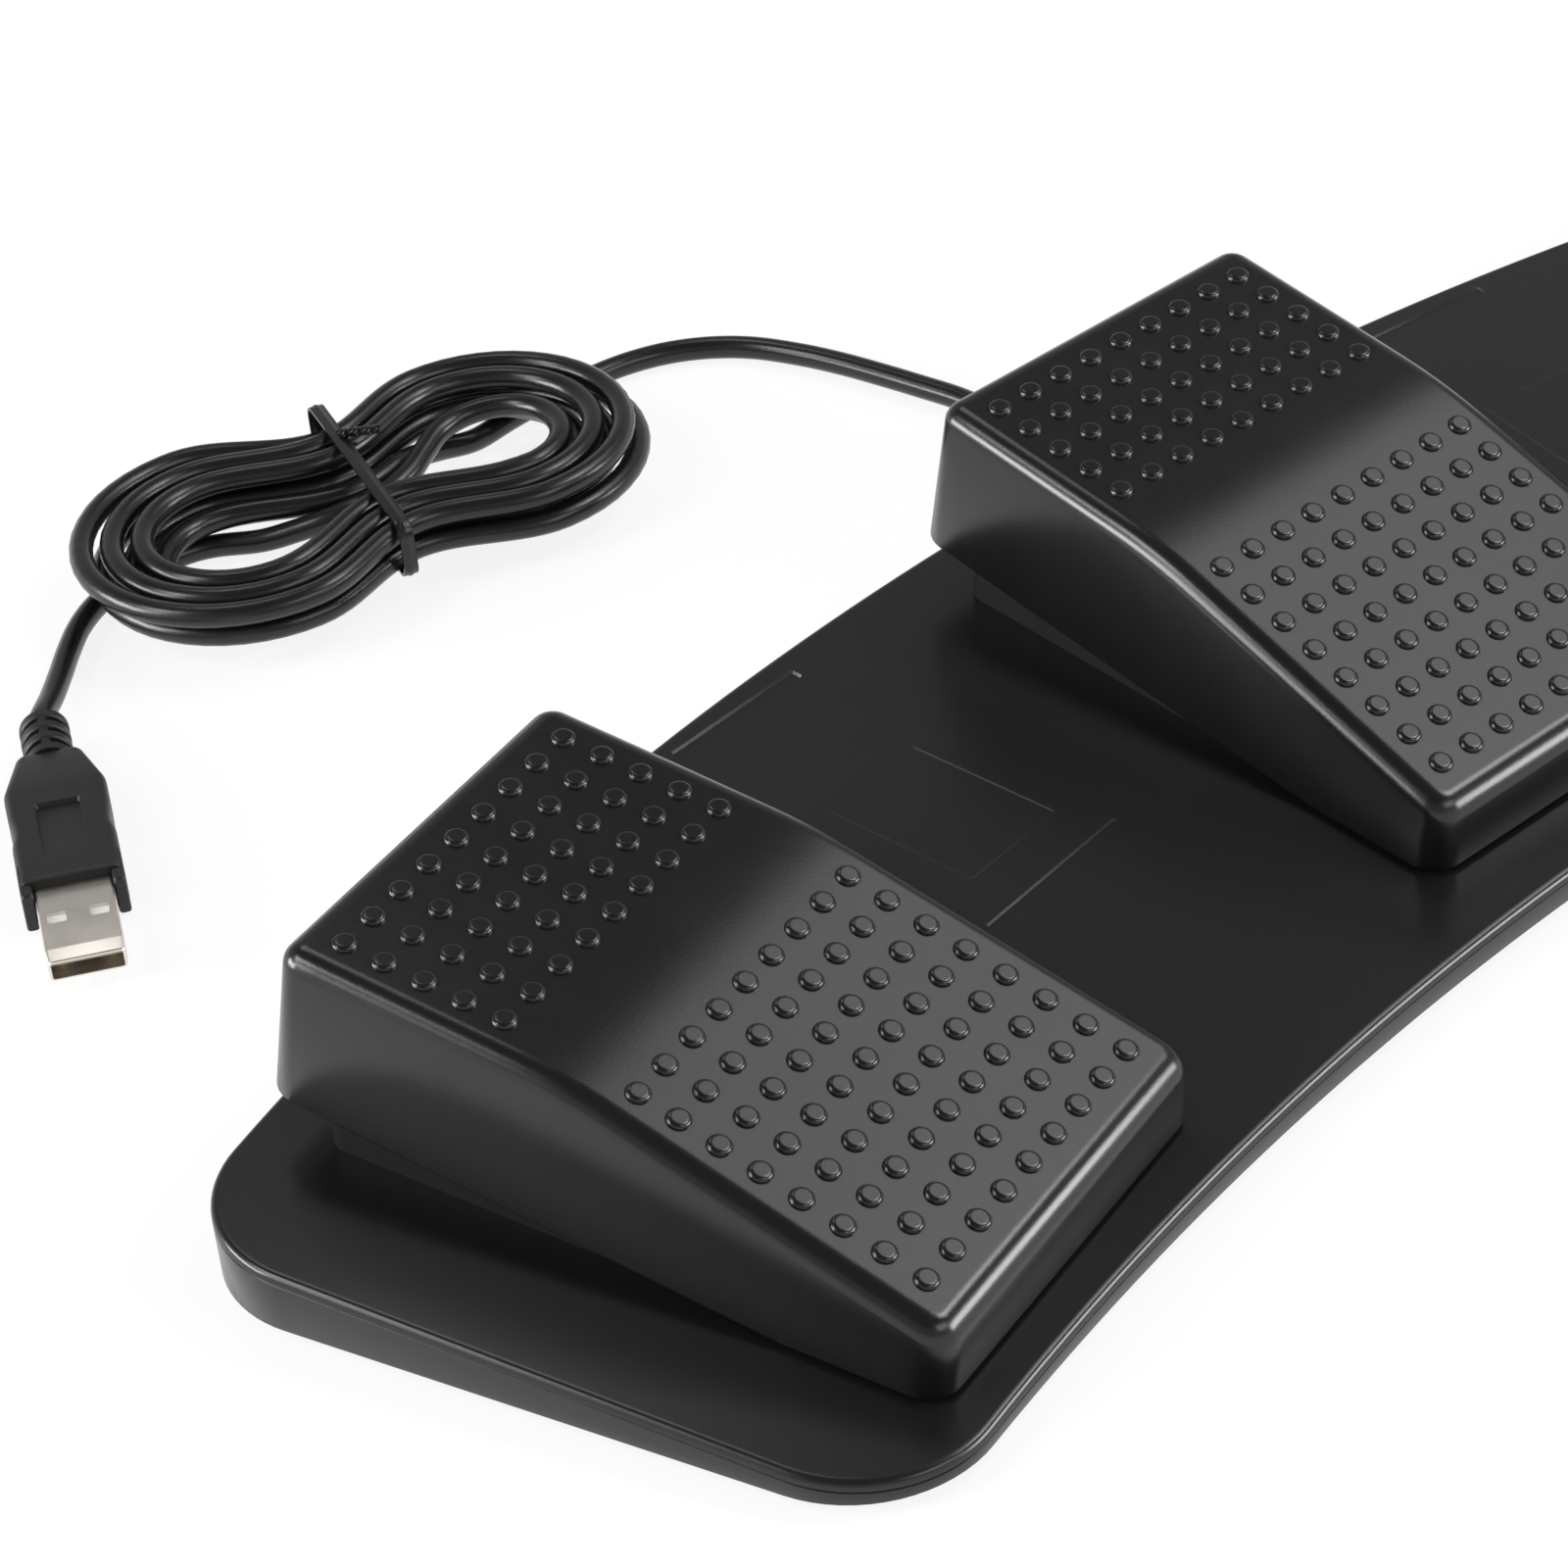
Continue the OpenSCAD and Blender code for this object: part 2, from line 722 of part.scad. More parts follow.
module pedal_base(side) {
    color("#151516")
    at_pedal(side)
    difference() {
        union() {
            intersection() {
                difference() {
                    linear_extrude(tray_rear_h)
                        rounded_plan(tray_half_w, tray_front_y, tray_rear_y, tray_corner_r);
                    translate([0, 0, tray_floor])
                        linear_extrude(tray_rear_h)
                        rounded_plan(tray_half_w - tray_wall, tray_front_y + tray_wall,
                            tray_rear_y - tray_wall, tray_corner_r - tray_wall);
                }
                tray_sides();
            }
            for (p = pedal_screw_spots)
                translate([p[0], p[1], 0])
                    cylinder(r = tray_boss_r, h = tray_boss_h, $fn = round_fn);
            translate([0, spring_y, 0])
                cylinder(r = spring_pin_r, h = tray_floor + spring_pin_l, $fn = round_fn);
            for (y = switch_peg_ys)
                translate([0, y, tray_floor - overlap])
                    cylinder(r = switch_peg_r, h = switch_peg_h, $fn = round_fn);
        }
        for (p = pedal_screw_spots)
            translate([p[0], p[1], -1])
                cylinder(r = pilot_r, h = tray_boss_h, $fn = round_fn);
        translate([0, lead_hole_y, -1])
            cylinder(r = lead_hole_r, h = tray_floor + 2, $fn = round_fn);
        translate([-tray_half_w - 1, hinge_y, hinge_z])
            rotate([90, 0, 90])
            cylinder(d = pin_dia + 2 * overlap, h = 2 * tray_half_w + 2, $fn = round_fn);
    }
}

module hinge_pin(side) {
    color("#b8b9bc")
    at_pedal(side)
        translate([-tray_half_w + 0.2, hinge_y, hinge_z])
        rotate([90, 0, 90])
        cylinder(d = pin_dia, h = 2 * tray_half_w - 0.4, $fn = round_fn);
}

function unit(v) = v / norm(v);

// Direction of a route at each of its points.
function headings(route) = [
    for (i = [0:len(route) - 1])
        unit(route[min(i + 1, len(route) - 1)] - route[max(i - 1, 0)])
];

// Sideways directions along a route, turned as little as it allows.
function sideways(heads, first) = [
    for (i = 0, s = unit(first - (first * heads[0]) * heads[0]);
        i < len(heads);
        i = i + 1, s = i < len(heads) ? unit(s - (s * heads[i]) * heads[i]) : s)
        s
];

// A closed tube of triangles along a route.
module tube(route, r, sides, first) {
    heads = headings(route);
    across = sideways(heads, first);
    n = len(route);
    points = [
        for (i = [0:n - 1])
            for (k = [0:sides - 1])
                let (a = 360 * k / sides)
                route[i] + r * (cos(a) * across[i] + sin(a) * cross(heads[i], across[i]))
    ];
    walls = [
        for (i = [0:n - 2])
            for (k = [0:sides - 1])
                let (
                    p = i * sides + k,
                    q = i * sides + (k + 1) % sides
                )
                for (f = [[p, p + sides, q + sides], [p, q + sides, q]]) f
    ];
    ends = [
        for (k = [1:sides - 2])
            for (f = [[0, k, k + 1], [(n - 1) * sides, (n - 1) * sides + k + 1, (n - 1) * sides + k]]) f
    ];
    polyhedron(points = points, faces = concat(walls, ends), convexity = 10);
}

// Return spring: one wire with closed ends.
spring_rings = 8;
spring_rise = spring_l - spring_wire - 2 * overlap;

function spring_height(turn) =
    let (
        closed = 0.75,
        flat = spring_wire * 1.06,
        open = (spring_rise - 2 * closed * flat) / (spring_turns - 2 * closed)
    )
    turn < closed ? turn * flat
    : turn > spring_turns - closed ? spring_rise - (spring_turns - turn) * flat
    : closed * flat + (turn - closed) * open;

spring_route = [
    for (i = [0:spring_turns * spring_rings])
        let (turn = i / spring_rings)
        [
            spring_r * cos(360 * turn),
            spring_r * sin(360 * turn),
            tray_floor + spring_wire / 2 + overlap + spring_height(turn)
        ]
];

module return_spring(side) {
    color("#a9abae")
    at_pedal(side)
        translate([0, spring_y, 0])
        tube(spring_route, spring_wire / 2, 6, [1, 0, 0]);
}

ear_gap = 0.15;
lever_w = 3.6;
ear_t = 1;
pivot_r = 0.6;
plunger_at = 5;
plunger_r = 1.1;
plunger_stand = lever_pivot[1] + plunger_at * sin(lever_rest) - lever_t / 2 - 0.85 * move_gap;
plunger_l = plunger_stand - switch_base_z - switch_h + 3.5;
switch_top = switch_base_z + switch_h;

module switch_body(side) {
    color("#c9c4b4")
    at_pedal(side)
    difference() {
        union() {
            translate([-switch_w / 2, switch_front_y, switch_base_z])
                cube([switch_w, switch_l, switch_h]);
            for (x = [-lever_w / 2 - ear_gap - ear_t, lever_w / 2 + ear_gap])
                translate([x, lever_pivot[0] - 1.4, switch_top - overlap])
                    cube([ear_t, 2.8, lever_pivot[1] - switch_top + 1.3]);
            for (k = [0:2])
                translate([-1.6, switch_front_y + switch_l - overlap, switch_base_z + 1.5 + 2.8 * k])
                    cube([3.2, 3, 0.5]);
        }
        for (y = switch_peg_ys)
            translate([0, y, 0])
                cylinder(r = switch_peg_r + overlap, h = switch_base_z + switch_peg_h + 0.2, $fn = round_fn);
        translate([-switch_w, lever_pivot[0], lever_pivot[1]])
            rotate([90, 0, 90])
            cylinder(r = pivot_r + 0.1, h = 2 * switch_w, $fn = round_fn);
        translate([0, lever_pivot[0] + plunger_at, switch_top - 5.5])
            cylinder(r = plunger_r + 0.1, h = 6, $fn = round_fn);
    }
}

module switch_lever(side) {
    color("#b4b6b9")
    at_pedal(side)
        translate([0, lever_pivot[0], lever_pivot[1]])
        rotate([lever_rest, 0, 0]) {
            translate([-lever_w / 2, 0, -lever_t / 2])
                cube([lever_w, lever_arm + 3, lever_t]);
            translate([-lever_w / 2 - ear_gap - ear_t, 0, 0])
                rotate([90, 0, 90])
                cylinder(r = pivot_r, h = lever_w + 2 * (ear_gap + ear_t), $fn = round_fn);
        }
}

module switch_plunger(side) {
    color("#8e1f1c")
    at_pedal(side)
        translate([0, lever_pivot[0] + plunger_at, plunger_stand - plunger_l])
        cylinder(r = plunger_r, h = plunger_l, $fn = round_fn);
}

module stop_bumpers(side) {
    color("#0d0d0e")
    at_pedal(side)
        for (x = [-bumper_x, bumper_x])
            translate([x, bumper_y, tray_floor])
                cylinder(r = bumper_r, h = bumper_h, $fn = round_fn);
}

module pedal_screws(side) {
    color("#9a9a9c")
    at_pedal(side)
        for (p = pedal_screw_spots)
            translate([p[0], p[1], -base_wall - head_t])
                screw(screw_r, base_wall + tray_boss_h - 2, screw_head_r, head_t);
}

// Switch leads: from each switch down through the base, then along the cavity to the board.
lead_r = 1.2;
lead_lay_z = foot_h + bottom_t + lead_r + 0.2;
board_front_y = board_centre[1] - board_l / 2;
lead_start_y = switch_front_y + switch_l + 3.2;
function lead_drop(side) = [
    in_world(side, [0, lead_start_y, tray_floor + 4.3]),
    in_world(side, [0, lead_start_y + 1.5, tray_floor + 3.9]),
    in_world(side, [0, lead_hole_y - 0.8, tray_floor + 2]),
    in_world(side, [0, lead_hole_y, -1]),
    in_world(side, [0, lead_hole_y + 0.4, -base_wall - 0.6])
];

// Leads lie on the bottom cover and end on the board's top.
board_lead_z = board_z + board_t + lead_r + 0.1;
side_lead_steps = [0.06, 0.2, 0.4, 0.6, 0.8, 0.92];
function lead_run(side) = side == MIDDLE
    ? [
        [0, board_front_y - 9, board_lead_z - 0.2],
        [0, board_front_y - 4, board_lead_z],
        [0, board_front_y + 2, board_lead_z]
    ]
    : let (
        from = flat(in_world(side, [0, lead_hole_y, 0])),
        to = [side * 0.36 * board_w, board_front_y - 6]
    )
    concat(
        [for (t = side_lead_steps) let (p = from + t * (to - from)) [p[0], p[1], lead_lay_z]],
        [
            [to[0] - side * 2.2, to[1] + 2, board_z + 0.4],
            [to[0] - side * 4, to[1] + 5, board_lead_z],
            [to[0] - side * 4.6, board_front_y + 3, board_lead_z]
        ]
    );

module switch_lead(side) {
    color("#7d1512")
    tube(concat(lead_drop(side), lead_run(side)), lead_r, 8, [1, 0, 0]);
}

module controller_board() {
    color("#1d5a34")
    difference() {
        translate([board_centre[0] - board_w / 2, board_front_y, board_z])
            cube([board_w, board_l, board_t]);
        for (p = board_hole_spots)
            translate([p[0], p[1], board_z - 1])
                cylinder(r = board_pilot_r + 0.1, h = board_t + 2, $fn = round_fn);
    }
}

chip_side = 9;
chip_t = 1.4;

module controller_chip() {
    color("#17181a")
    translate([board_centre[0] - 6 - chip_side / 2, board_centre[1] - chip_side / 2, board_z + board_t])
        cube([chip_side, chip_side, chip_t]);
}

header_w = 10;
header_l = 5;
header_h = 3.8;
header_x = 0.24 * board_w;
header_rear_in = 4;
header_y = rear_y - base_rim_w - header_rear_in - header_l;

module cord_header() {
    color("#e6e2d6")
    translate([header_x - header_w / 2, header_y, board_z + board_t])
        cube([header_w, header_l, header_h]);
}

module board_screws() {
    color("#9a9a9c")
    for (p = board_hole_spots)
        translate([p[0], p[1], board_z + board_t + board_head_t])
            rotate([180, 0, 0])
            screw(board_screw_r, board_t + 1.8, board_head_r, board_head_t);
}

// Cord: its exit, its route to the hank, the hank, its tail and the plug.
cord_r = cord_dia / 2;
relief_y = rear_centre[1] + sqrt(pow(base_arc_r, 2) - pow(exit_x - relief_flange_r, 2));
relief_rib_n = 4;
relief_inner_l = base_rim_w + 1;
relief_tip_r = cord_r + 0.9;

module strain_relief() {
    color("#131314")
    translate([exit_x, relief_y, exit_z])
    rotate([-90, 0, 0])
    difference() {
        rotate_extrude($fn = round_fn)
            polygon(concat(
                [[0, -relief_inner_l], [relief_seat_r, -relief_inner_l], [relief_seat_r, overlap]],
                [[relief_flange_r, overlap], [relief_flange_r, relief_flange_t]],
                [
                    for (k = [0:relief_rib_n - 1])
                        let (
                            y0 = relief_flange_t + 1 + k * (relief_l - relief_flange_t - 2) / relief_rib_n,
                            y1 = y0 + (relief_l - relief_flange_t - 2) / relief_rib_n - 1,
                            r0 = relief_seat_r - k * (relief_seat_r - relief_tip_r) / relief_rib_n
                        )
                        for (p = [[r0 - 0.7, y0 - 1], [r0 - 0.7, y0], [r0, y0], [r0 - 0.15, y1], [r0 - 0.7, y1]]) p
                ],
                [[relief_tip_r, relief_l], [0, relief_l]]
            ));
        translate([0, 0, -relief_inner_l - 1])
            cylinder(r = 1.4, h = relief_inner_l + 2, $fn = round_fn);
    }
}

// Inner cable: from the strain relief's inner end to the board.
inner_r = 1.3;
inner_y = relief_y - relief_inner_l;
inner_z = board_z + board_t + board_head_t + inner_r + 0.3;
inner_end = [header_x + header_w / 2 + 0.3, header_y + header_l / 2, inner_z];
inner_route = [
    [exit_x, inner_y + 2.5, exit_z],
    [exit_x, inner_y - 0.4, exit_z],
    [exit_x - 0.5, inner_y - 1.6, (exit_z + inner_z) / 2],
    [exit_x - 1.8, inner_y - 3, inner_z],
    [inner_end[0] + 2.2, inner_end[1] + 0.4, inner_z],
    inner_end
];

module inner_cable() {
    color("#1b1b1c")
    tube(inner_route, inner_r, 8, [0, 0, 1]);
}

// Hank: one tube that spirals out from the inside, climbs along a run and spirals back in on top.
hank_centre = [-67.8, 167.8];
hank_turn = -8.9;
hank_rings = 24;
hank_reverse = 3.125;
hank_start = 0.075;
hank_stop = 5.74;
hank_end_l = 1;
climb_half = 0.11;
low_z = hank_lift + cord_r;

// Half width of the loop at a count of turns.
function loop_half(turn) = hank_half_w - hank_step * abs(turn - hank_reverse);

function ease(t) = t <= 0 ? 0 : t >= 1 ? 1 : t * t * (3 - 2 * t);

function loop_height(turn) =
    low_z + hank_layer * ease((turn - hank_reverse + climb_half) / (2 * climb_half));

// A point of the hank: rear run, left end, front run and right end share a turn.
function loop_plan(turn) =
    let (
        whole = turn - floor(turn),
        quarter = floor(whole * 4),
        t = whole * 4 - quarter,
        b = loop_half(turn),
        run = hank_run * (1 - 2 * t),
        drawn = b - hank_waist * (1 + cos(180 * run / hank_run)) / 2
    )
    quarter == 0 ? [run, drawn]
    : quarter == 1 ? [-hank_run - b * sin(180 * t), b * cos(180 * t)]
    : quarter == 2 ? [-run, -drawn]
    : [hank_run + b * sin(180 * t), -b * cos(180 * t)];

// A point of the hank's own plan, at a height, in the object's frame.
function in_hank(p, z) = [
    hank_centre[0] + p[0] * cos(hank_turn) - p[1] * sin(hank_turn),
    hank_centre[1] + p[0] * sin(hank_turn) + p[1] * cos(hank_turn),
    z
];

function hank_point(turn) = in_hank(loop_plan(turn), loop_height(turn));

hank_count = round((hank_stop - hank_start) * hank_rings);
hank_loops = [
    for (i = [0:hank_count]) hank_point(hank_start + (hank_stop - hank_start) * i / hank_count)
];
hank_in = unit(hank_point(hank_start + 0.004) - hank_loops[0]);
hank_out = unit(hank_loops[hank_count] - hank_point(hank_stop - 0.004));
hank_route = concat(
    [hank_loops[0] - hank_end_l * hank_in],
    hank_loops,
    [hank_loops[hank_count] + hank_end_l * hank_out]
);

// Distance of a point from a stretch of route.
function stretch_gap(p, a, b) =
    let (t = max(0, min(1, (p - a) * (b - a) / ((b - a) * (b - a)))))
    norm(p - a - t * (b - a));

// Least gap of the hank to itself, from each of its points to every stretch half a turn or more away.
hank_last = len(hank_route) - 1;
hank_gap = min([
    for (i = [0:hank_last])
        for (j = [0:hank_last - 1])
            if (abs(i - j) >= hank_rings / 2)
                stretch_gap(hank_route[i], hank_route[j], hank_route[j + 1])
]) - cord_dia;
echo(hank_least_gap = hank_gap);

route_length = function (route) len(route) < 2 ? 0
    : [for (i = 0, sum = 0; i < len(route); sum = sum + (i + 1 < len(route)
        ? norm(route[i + 1] - route[i]) : 0), i = i + 1) sum][len(route) - 1];

// Lead: out of the strain relief, along the floor, under the hank's right end and up to its inside.
lead_floor_route = [
    [24, 112], [23.7, 121], [22.4, 129], [20.9, 137], [19.1, 145.3], [16.7, 153.3], [13.1, 161.6],
    [8.3, 167.8], [2.2, 172.4], [-4.8, 175.2], [-12.5, 176.5], [-20.5, 177], [-28.5, 176.9], [-36, 176.1]
];
lead_rise_route = [[26, 11.9, 2.6], [20.5, 11.3, 3.8], [15, 10, 5.2]];
lead_end = hank_route[0];
usb_lead_route = concat(
    [
        [exit_x, relief_y + relief_l, exit_z],
        [exit_x, relief_y + relief_l + cord_dia, exit_z],
        [exit_x, relief_y + relief_l + 10, exit_z - 2]
    ],
    [for (p = lead_floor_route) [p[0], p[1], cord_r]],
    [for (p = lead_rise_route) in_hank(p, p[2])],
    [lead_end - hank_end_l * hank_in, lead_end]
);

module usb_lead() {
    color("#141415")
    tube(usb_lead_route, cord_r, 8, [1, 0, 0]);
}

module usb_hank() {
    color("#141415")
    tube(hank_route, cord_r, 6, [0, 0, 1]);
}

// Plug: lies flat on the floor, pointing to the front left.
plug_heading = 240.3;
plug_spot = [-141.5, 157.8];
plug_z = plug_t / 2;
plug_dir = [cos(plug_heading), sin(plug_heading), 0];
neck_start = [plug_spot[0], plug_spot[1], plug_z];
tail_start = hank_route[len(hank_route) - 1];
// Tail: round inside the hank's right end, down through its waist, under its left end and to the plug.
tail_fall_route = [
    [25.6, -14.3, 11.1],
    [29.6, -12.7, 11.1],
    [32.9, -9.5, 11.1],
    [34.8, -5.1, 11],
    [34.9, -0.2, 10.8],
    [33.1, 4.4, 10.5],
    [29.4, 7.8, 10.1],
    [24.6, 9.3, 9.6],
    [19.4, 8.4, 9.1],
    [14.5, 5.3, 8.5],
    [9.8, 2, 7.9],
    [4.6, -0.1, 7.4],
    [-1, -0.4, 6.9],
    [-6.5, 1.5, 5.6],
    [-11.5, 4.6, 3.9],
    [-16.5, 8, 2.5]
];
tail_floor_route = [
    [-89, 184.1, 2], [-96, 186.3, 2], [-104, 186.4, 2], [-111.5, 184.7, 2], [-118, 181.2, 2],
    [-123.8, 176.4, 2], [-129.2, 171.2, 2.2], [-134.4, 166.1, 2.8]
];
usb_tail_route = concat(
    [tail_start, tail_start + hank_end_l * hank_out],
    [for (p = tail_fall_route) in_hank(p, p[2])],
    tail_floor_route,
    [neck_start - 3.5 * plug_dir, neck_start - 1.2 * plug_dir, neck_start]
);

module usb_tail() {
    color("#141415")
    tube(usb_tail_route, cord_r, 8, [0, 0, 1]);
}

echo(cord_length = route_length(usb_lead_route) + route_length(hank_route) + route_length(usb_tail_route));

// Tie: a band round the hank's waist.
tie_w = 2.4;
tie_t = 0.8;
tie_gap = 0.35;
tie_slack = 2.1;
tie_skew = -10;
tie_rear = loop_half(hank_reverse) - hank_waist + cord_r + tie_slack;
tie_front = loop_half(hank_reverse + 0.5) - hank_waist + cord_r + tie_slack;
tie_half = (tie_rear + tie_front) / 2;
tie_top = low_z + hank_layer + cord_r + tie_gap;
tie_low = hank_lift - tie_gap + 0.15;

module tie_plan(grow) {
    y0 = tie_low - grow;
    y1 = tie_top + grow;
    r = cord_r + grow;
    translate([(tie_rear - tie_front) / 2, 0])
        rounded_plan(tie_half + grow, y0, y1, r);
}

module cord_tie() {
    color("#0f0f10")
    translate([hank_centre[0], hank_centre[1], 0])
        rotate([90, 0, 90 + hank_turn + tie_skew])
        translate([0, 0, -tie_w / 2])
        linear_extrude(tie_w)
        difference() {
            tie_plan(tie_t);
            tie_plan(0);
        }
}

// Puts children in the plug's frame: along its heading from the neck's end, at mid height.
module at_plug() {
    translate(neck_start)
        rotate([0, 0, plug_heading])
        rotate([0, 90, 0])
        rotate([0, 0, 90])
        children();
}

neck_rib_n = 3;
neck_r0 = 4;
neck_r1 = 3.9;
neck_groove = 0.9;

module plug_neck() {
    pitch = neck_l / (neck_rib_n + 0.5);
    color("#161617")
    at_plug()
        rotate_extrude($fn = round_fn)
        polygon(concat(
            [[0, 0]],
            [
                for (k = [0:neck_rib_n])
                    let (
                        z0 = k * pitch,
                        r = neck_r0 + (neck_r1 - neck_r0) * k / neck_rib_n,
                        z1 = k == neck_rib_n ? neck_l : z0 + pitch * 0.62
                    )
                    for (p = k == neck_rib_n
                        ? [[r - neck_groove, z0], [r - neck_groove, z1]]
                        : [[r - (k == 0 ? 0 : neck_groove), z0], [r, z0], [r, z1], [r - neck_groove, z1]]) p
            ],
            [[0, neck_l]]
        ));
}

// Grip: plan of the half outline along the plug, from neck to collar.
grip_neck_w = 10;
grip_waist_w = 14.4;
grip_cheek_l = 5;
grip_cheek_t = 1.6;
grip_edge = 1.2;
grip_half = [
    [grip_neck_w / 2, 0],
    [plug_w / 2 - 0.6, 0.2 * plug_l],
    [plug_w / 2, 0.27 * plug_l],
    [plug_w / 2, 0.52 * plug_l],
    [grip_waist_w / 2, 0.66 * plug_l],
    [plug_w / 2, 0.74 * plug_l],
    [plug_w / 2, plug_l]
];
grip_body_l = plug_l - grip_cheek_l;
label_w = 6.6;
label_l = 13.2;
label_at = 15.8;
label_depth = 0.4;
shell_sunk = 6;
shell_t = 0.35;

module grip_plan() {
    polygon(concat(grip_half, [for (i = [len(grip_half) - 1:-1:0]) [-grip_half[i][0], grip_half[i][1]]]));
}

module grip_profile() {
    polygon([
        [-plug_t / 2 + grip_edge, 0], [plug_t / 2 - grip_edge, 0],
        [plug_t / 2, 0.2 * plug_l], [plug_t / 2, grip_body_l],
        [plug_t / 2 - 0.4, plug_l], [-plug_t / 2 + 0.4, plug_l],
        [-plug_t / 2, grip_body_l], [-plug_t / 2, 0.2 * plug_l]
    ]);
}

module plug_grip() {
    color("#161617")
    at_plug()
    translate([0, 0, neck_l])
    difference() {
        intersection() {
            rotate([90, 0, 0])
                translate([0, 0, -plug_t])
                linear_extrude(2 * plug_t)
                grip_plan();
            rotate([90, 0, 90])
                translate([0, 0, -plug_w])
                linear_extrude(2 * plug_w)
                grip_profile();
        }
        translate([-plug_w / 2 + grip_cheek_t, -plug_t, grip_body_l])
            cube([plug_w - 2 * grip_cheek_t, 2 * plug_t, grip_cheek_l + 1]);
        translate([-shell_w / 2 - overlap, -shell_h / 2 - overlap, grip_body_l - shell_sunk])
            cube([shell_w + 2 * overlap, shell_h + 2 * overlap, shell_sunk + 1]);
        for (face = [-1, 1])
            translate([-label_w / 2, face * (plug_t / 2) - label_depth, label_at])
                cube([label_w, 2 * label_depth, label_l]);
    }
}

window_w = 2.8;
window_l = 2.1;
window_x = 3.25;
window_back = 11.5;

module plug_shell() {
    color("#c8c4b8")
    at_plug()
    translate([0, 0, neck_l + grip_body_l - shell_sunk + overlap])
    difference() {
        translate([-shell_w / 2, -shell_h / 2, 0])
            cube([shell_w, shell_h, shell_sunk + shell_l]);
        translate([-shell_w / 2 + shell_t, -shell_h / 2 + shell_t, shell_t])
            cube([shell_w - 2 * shell_t, shell_h - 2 * shell_t, shell_sunk + shell_l]);
        for (x = [-window_x, window_x])
            translate([x - window_w / 2, -shell_h, shell_sunk + shell_l - window_back])
                cube([window_w, 2 * shell_h, window_l]);
    }
}

tongue_t = 1.85;
tongue_l = shell_sunk + shell_l - 2;
tongue_low = shell_h / 2 - shell_t - overlap - tongue_t;

module plug_tongue() {
    color("#e9e7e0")
    at_plug()
    translate([0, 0, neck_l + grip_body_l - shell_sunk + shell_t + 2 * overlap])
        translate([-shell_w / 2 + shell_t + overlap, tongue_low, 0])
        cube([shell_w - 2 * shell_t - 2 * overlap, tongue_t, tongue_l]);
}

contact_pitches = [-3.5, -1, 1, 3.5];
contact_t = 0.25;

module plug_contacts() {
    color("#c9a24a")
    at_plug()
    translate([0, tongue_low - contact_t, neck_l + grip_body_l - 1])
        for (x = contact_pitches)
            translate([x - 0.5, 0, 0])
                cube([1, contact_t, shell_l - 4]);
}

base_plate();
bottom_cover();
cover_screws();
rubber_feet();
pedal_cover(LEFT);  // pedal_cover_left
pedal_cover(MIDDLE);  // pedal_cover_middle
pedal_cover(RIGHT);  // pedal_cover_right
pedal_base(LEFT);  // pedal_base_left
pedal_base(MIDDLE);  // pedal_base_middle
pedal_base(RIGHT);  // pedal_base_right
hinge_pin(LEFT);  // hinge_pin_left
hinge_pin(MIDDLE);  // hinge_pin_middle
hinge_pin(RIGHT);  // hinge_pin_right
return_spring(LEFT);  // return_spring_left
return_spring(MIDDLE);  // return_spring_middle
return_spring(RIGHT);  // return_spring_right
switch_body(LEFT);  // switch_body_left
switch_body(MIDDLE);  // switch_body_middle
switch_body(RIGHT);  // switch_body_right
switch_lever(LEFT);  // switch_lever_left
switch_lever(MIDDLE);  // switch_lever_middle
switch_lever(RIGHT);  // switch_lever_right
switch_plunger(LEFT);  // switch_plunger_left
switch_plunger(MIDDLE);  // switch_plunger_middle
switch_plunger(RIGHT);  // switch_plunger_right
stop_bumpers(LEFT);  // stop_bumpers_left
stop_bumpers(MIDDLE);  // stop_bumpers_middle
stop_bumpers(RIGHT);  // stop_bumpers_right
pedal_screws(LEFT);  // pedal_screws_left
pedal_screws(MIDDLE);  // pedal_screws_middle
pedal_screws(RIGHT);  // pedal_screws_right
switch_lead(LEFT);  // switch_lead_left
switch_lead(MIDDLE);  // switch_lead_middle
switch_lead(RIGHT);  // switch_lead_right
controller_board();
controller_chip();
cord_header();
board_screws();
inner_cable();
strain_relief();
usb_lead();
usb_hank();
usb_tail();
cord_tie();
plug_neck();
plug_grip();
plug_shell();
plug_tongue();
plug_contacts();
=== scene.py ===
"""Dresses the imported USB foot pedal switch.

The covers, the base, the cord, its tie and the plug are rebuilt here as finer meshes that
stand for their CAD nodes. Every other node keeps its CAD mesh and gets a procedural material.
"""

import json
import logging
import math
from collections.abc import Iterable, Sequence
from dataclasses import dataclass, field
from enum import Enum

import bmesh
import bpy
from mathutils import Matrix, Vector
from mathutils.geometry import tessellate_polygon


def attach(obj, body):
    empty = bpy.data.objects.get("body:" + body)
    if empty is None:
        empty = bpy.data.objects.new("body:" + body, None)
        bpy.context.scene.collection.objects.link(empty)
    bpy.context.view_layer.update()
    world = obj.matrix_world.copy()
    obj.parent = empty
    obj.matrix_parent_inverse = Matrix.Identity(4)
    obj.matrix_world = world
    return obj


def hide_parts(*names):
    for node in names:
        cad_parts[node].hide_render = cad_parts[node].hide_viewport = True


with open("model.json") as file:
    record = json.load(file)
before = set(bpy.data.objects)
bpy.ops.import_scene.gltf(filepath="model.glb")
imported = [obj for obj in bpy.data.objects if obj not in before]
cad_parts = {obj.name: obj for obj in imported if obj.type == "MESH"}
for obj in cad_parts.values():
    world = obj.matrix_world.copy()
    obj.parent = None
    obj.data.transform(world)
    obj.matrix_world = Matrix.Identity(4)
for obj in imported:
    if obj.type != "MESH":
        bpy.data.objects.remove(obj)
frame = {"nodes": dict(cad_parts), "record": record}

LOG = logging.getLogger("foot_pedal")
MM = 0.001
BASE_BODY = "base"
SHARP_DEG = 38.0
MERGE_DIST = 1e-7
Plan = list[tuple[float, float]]


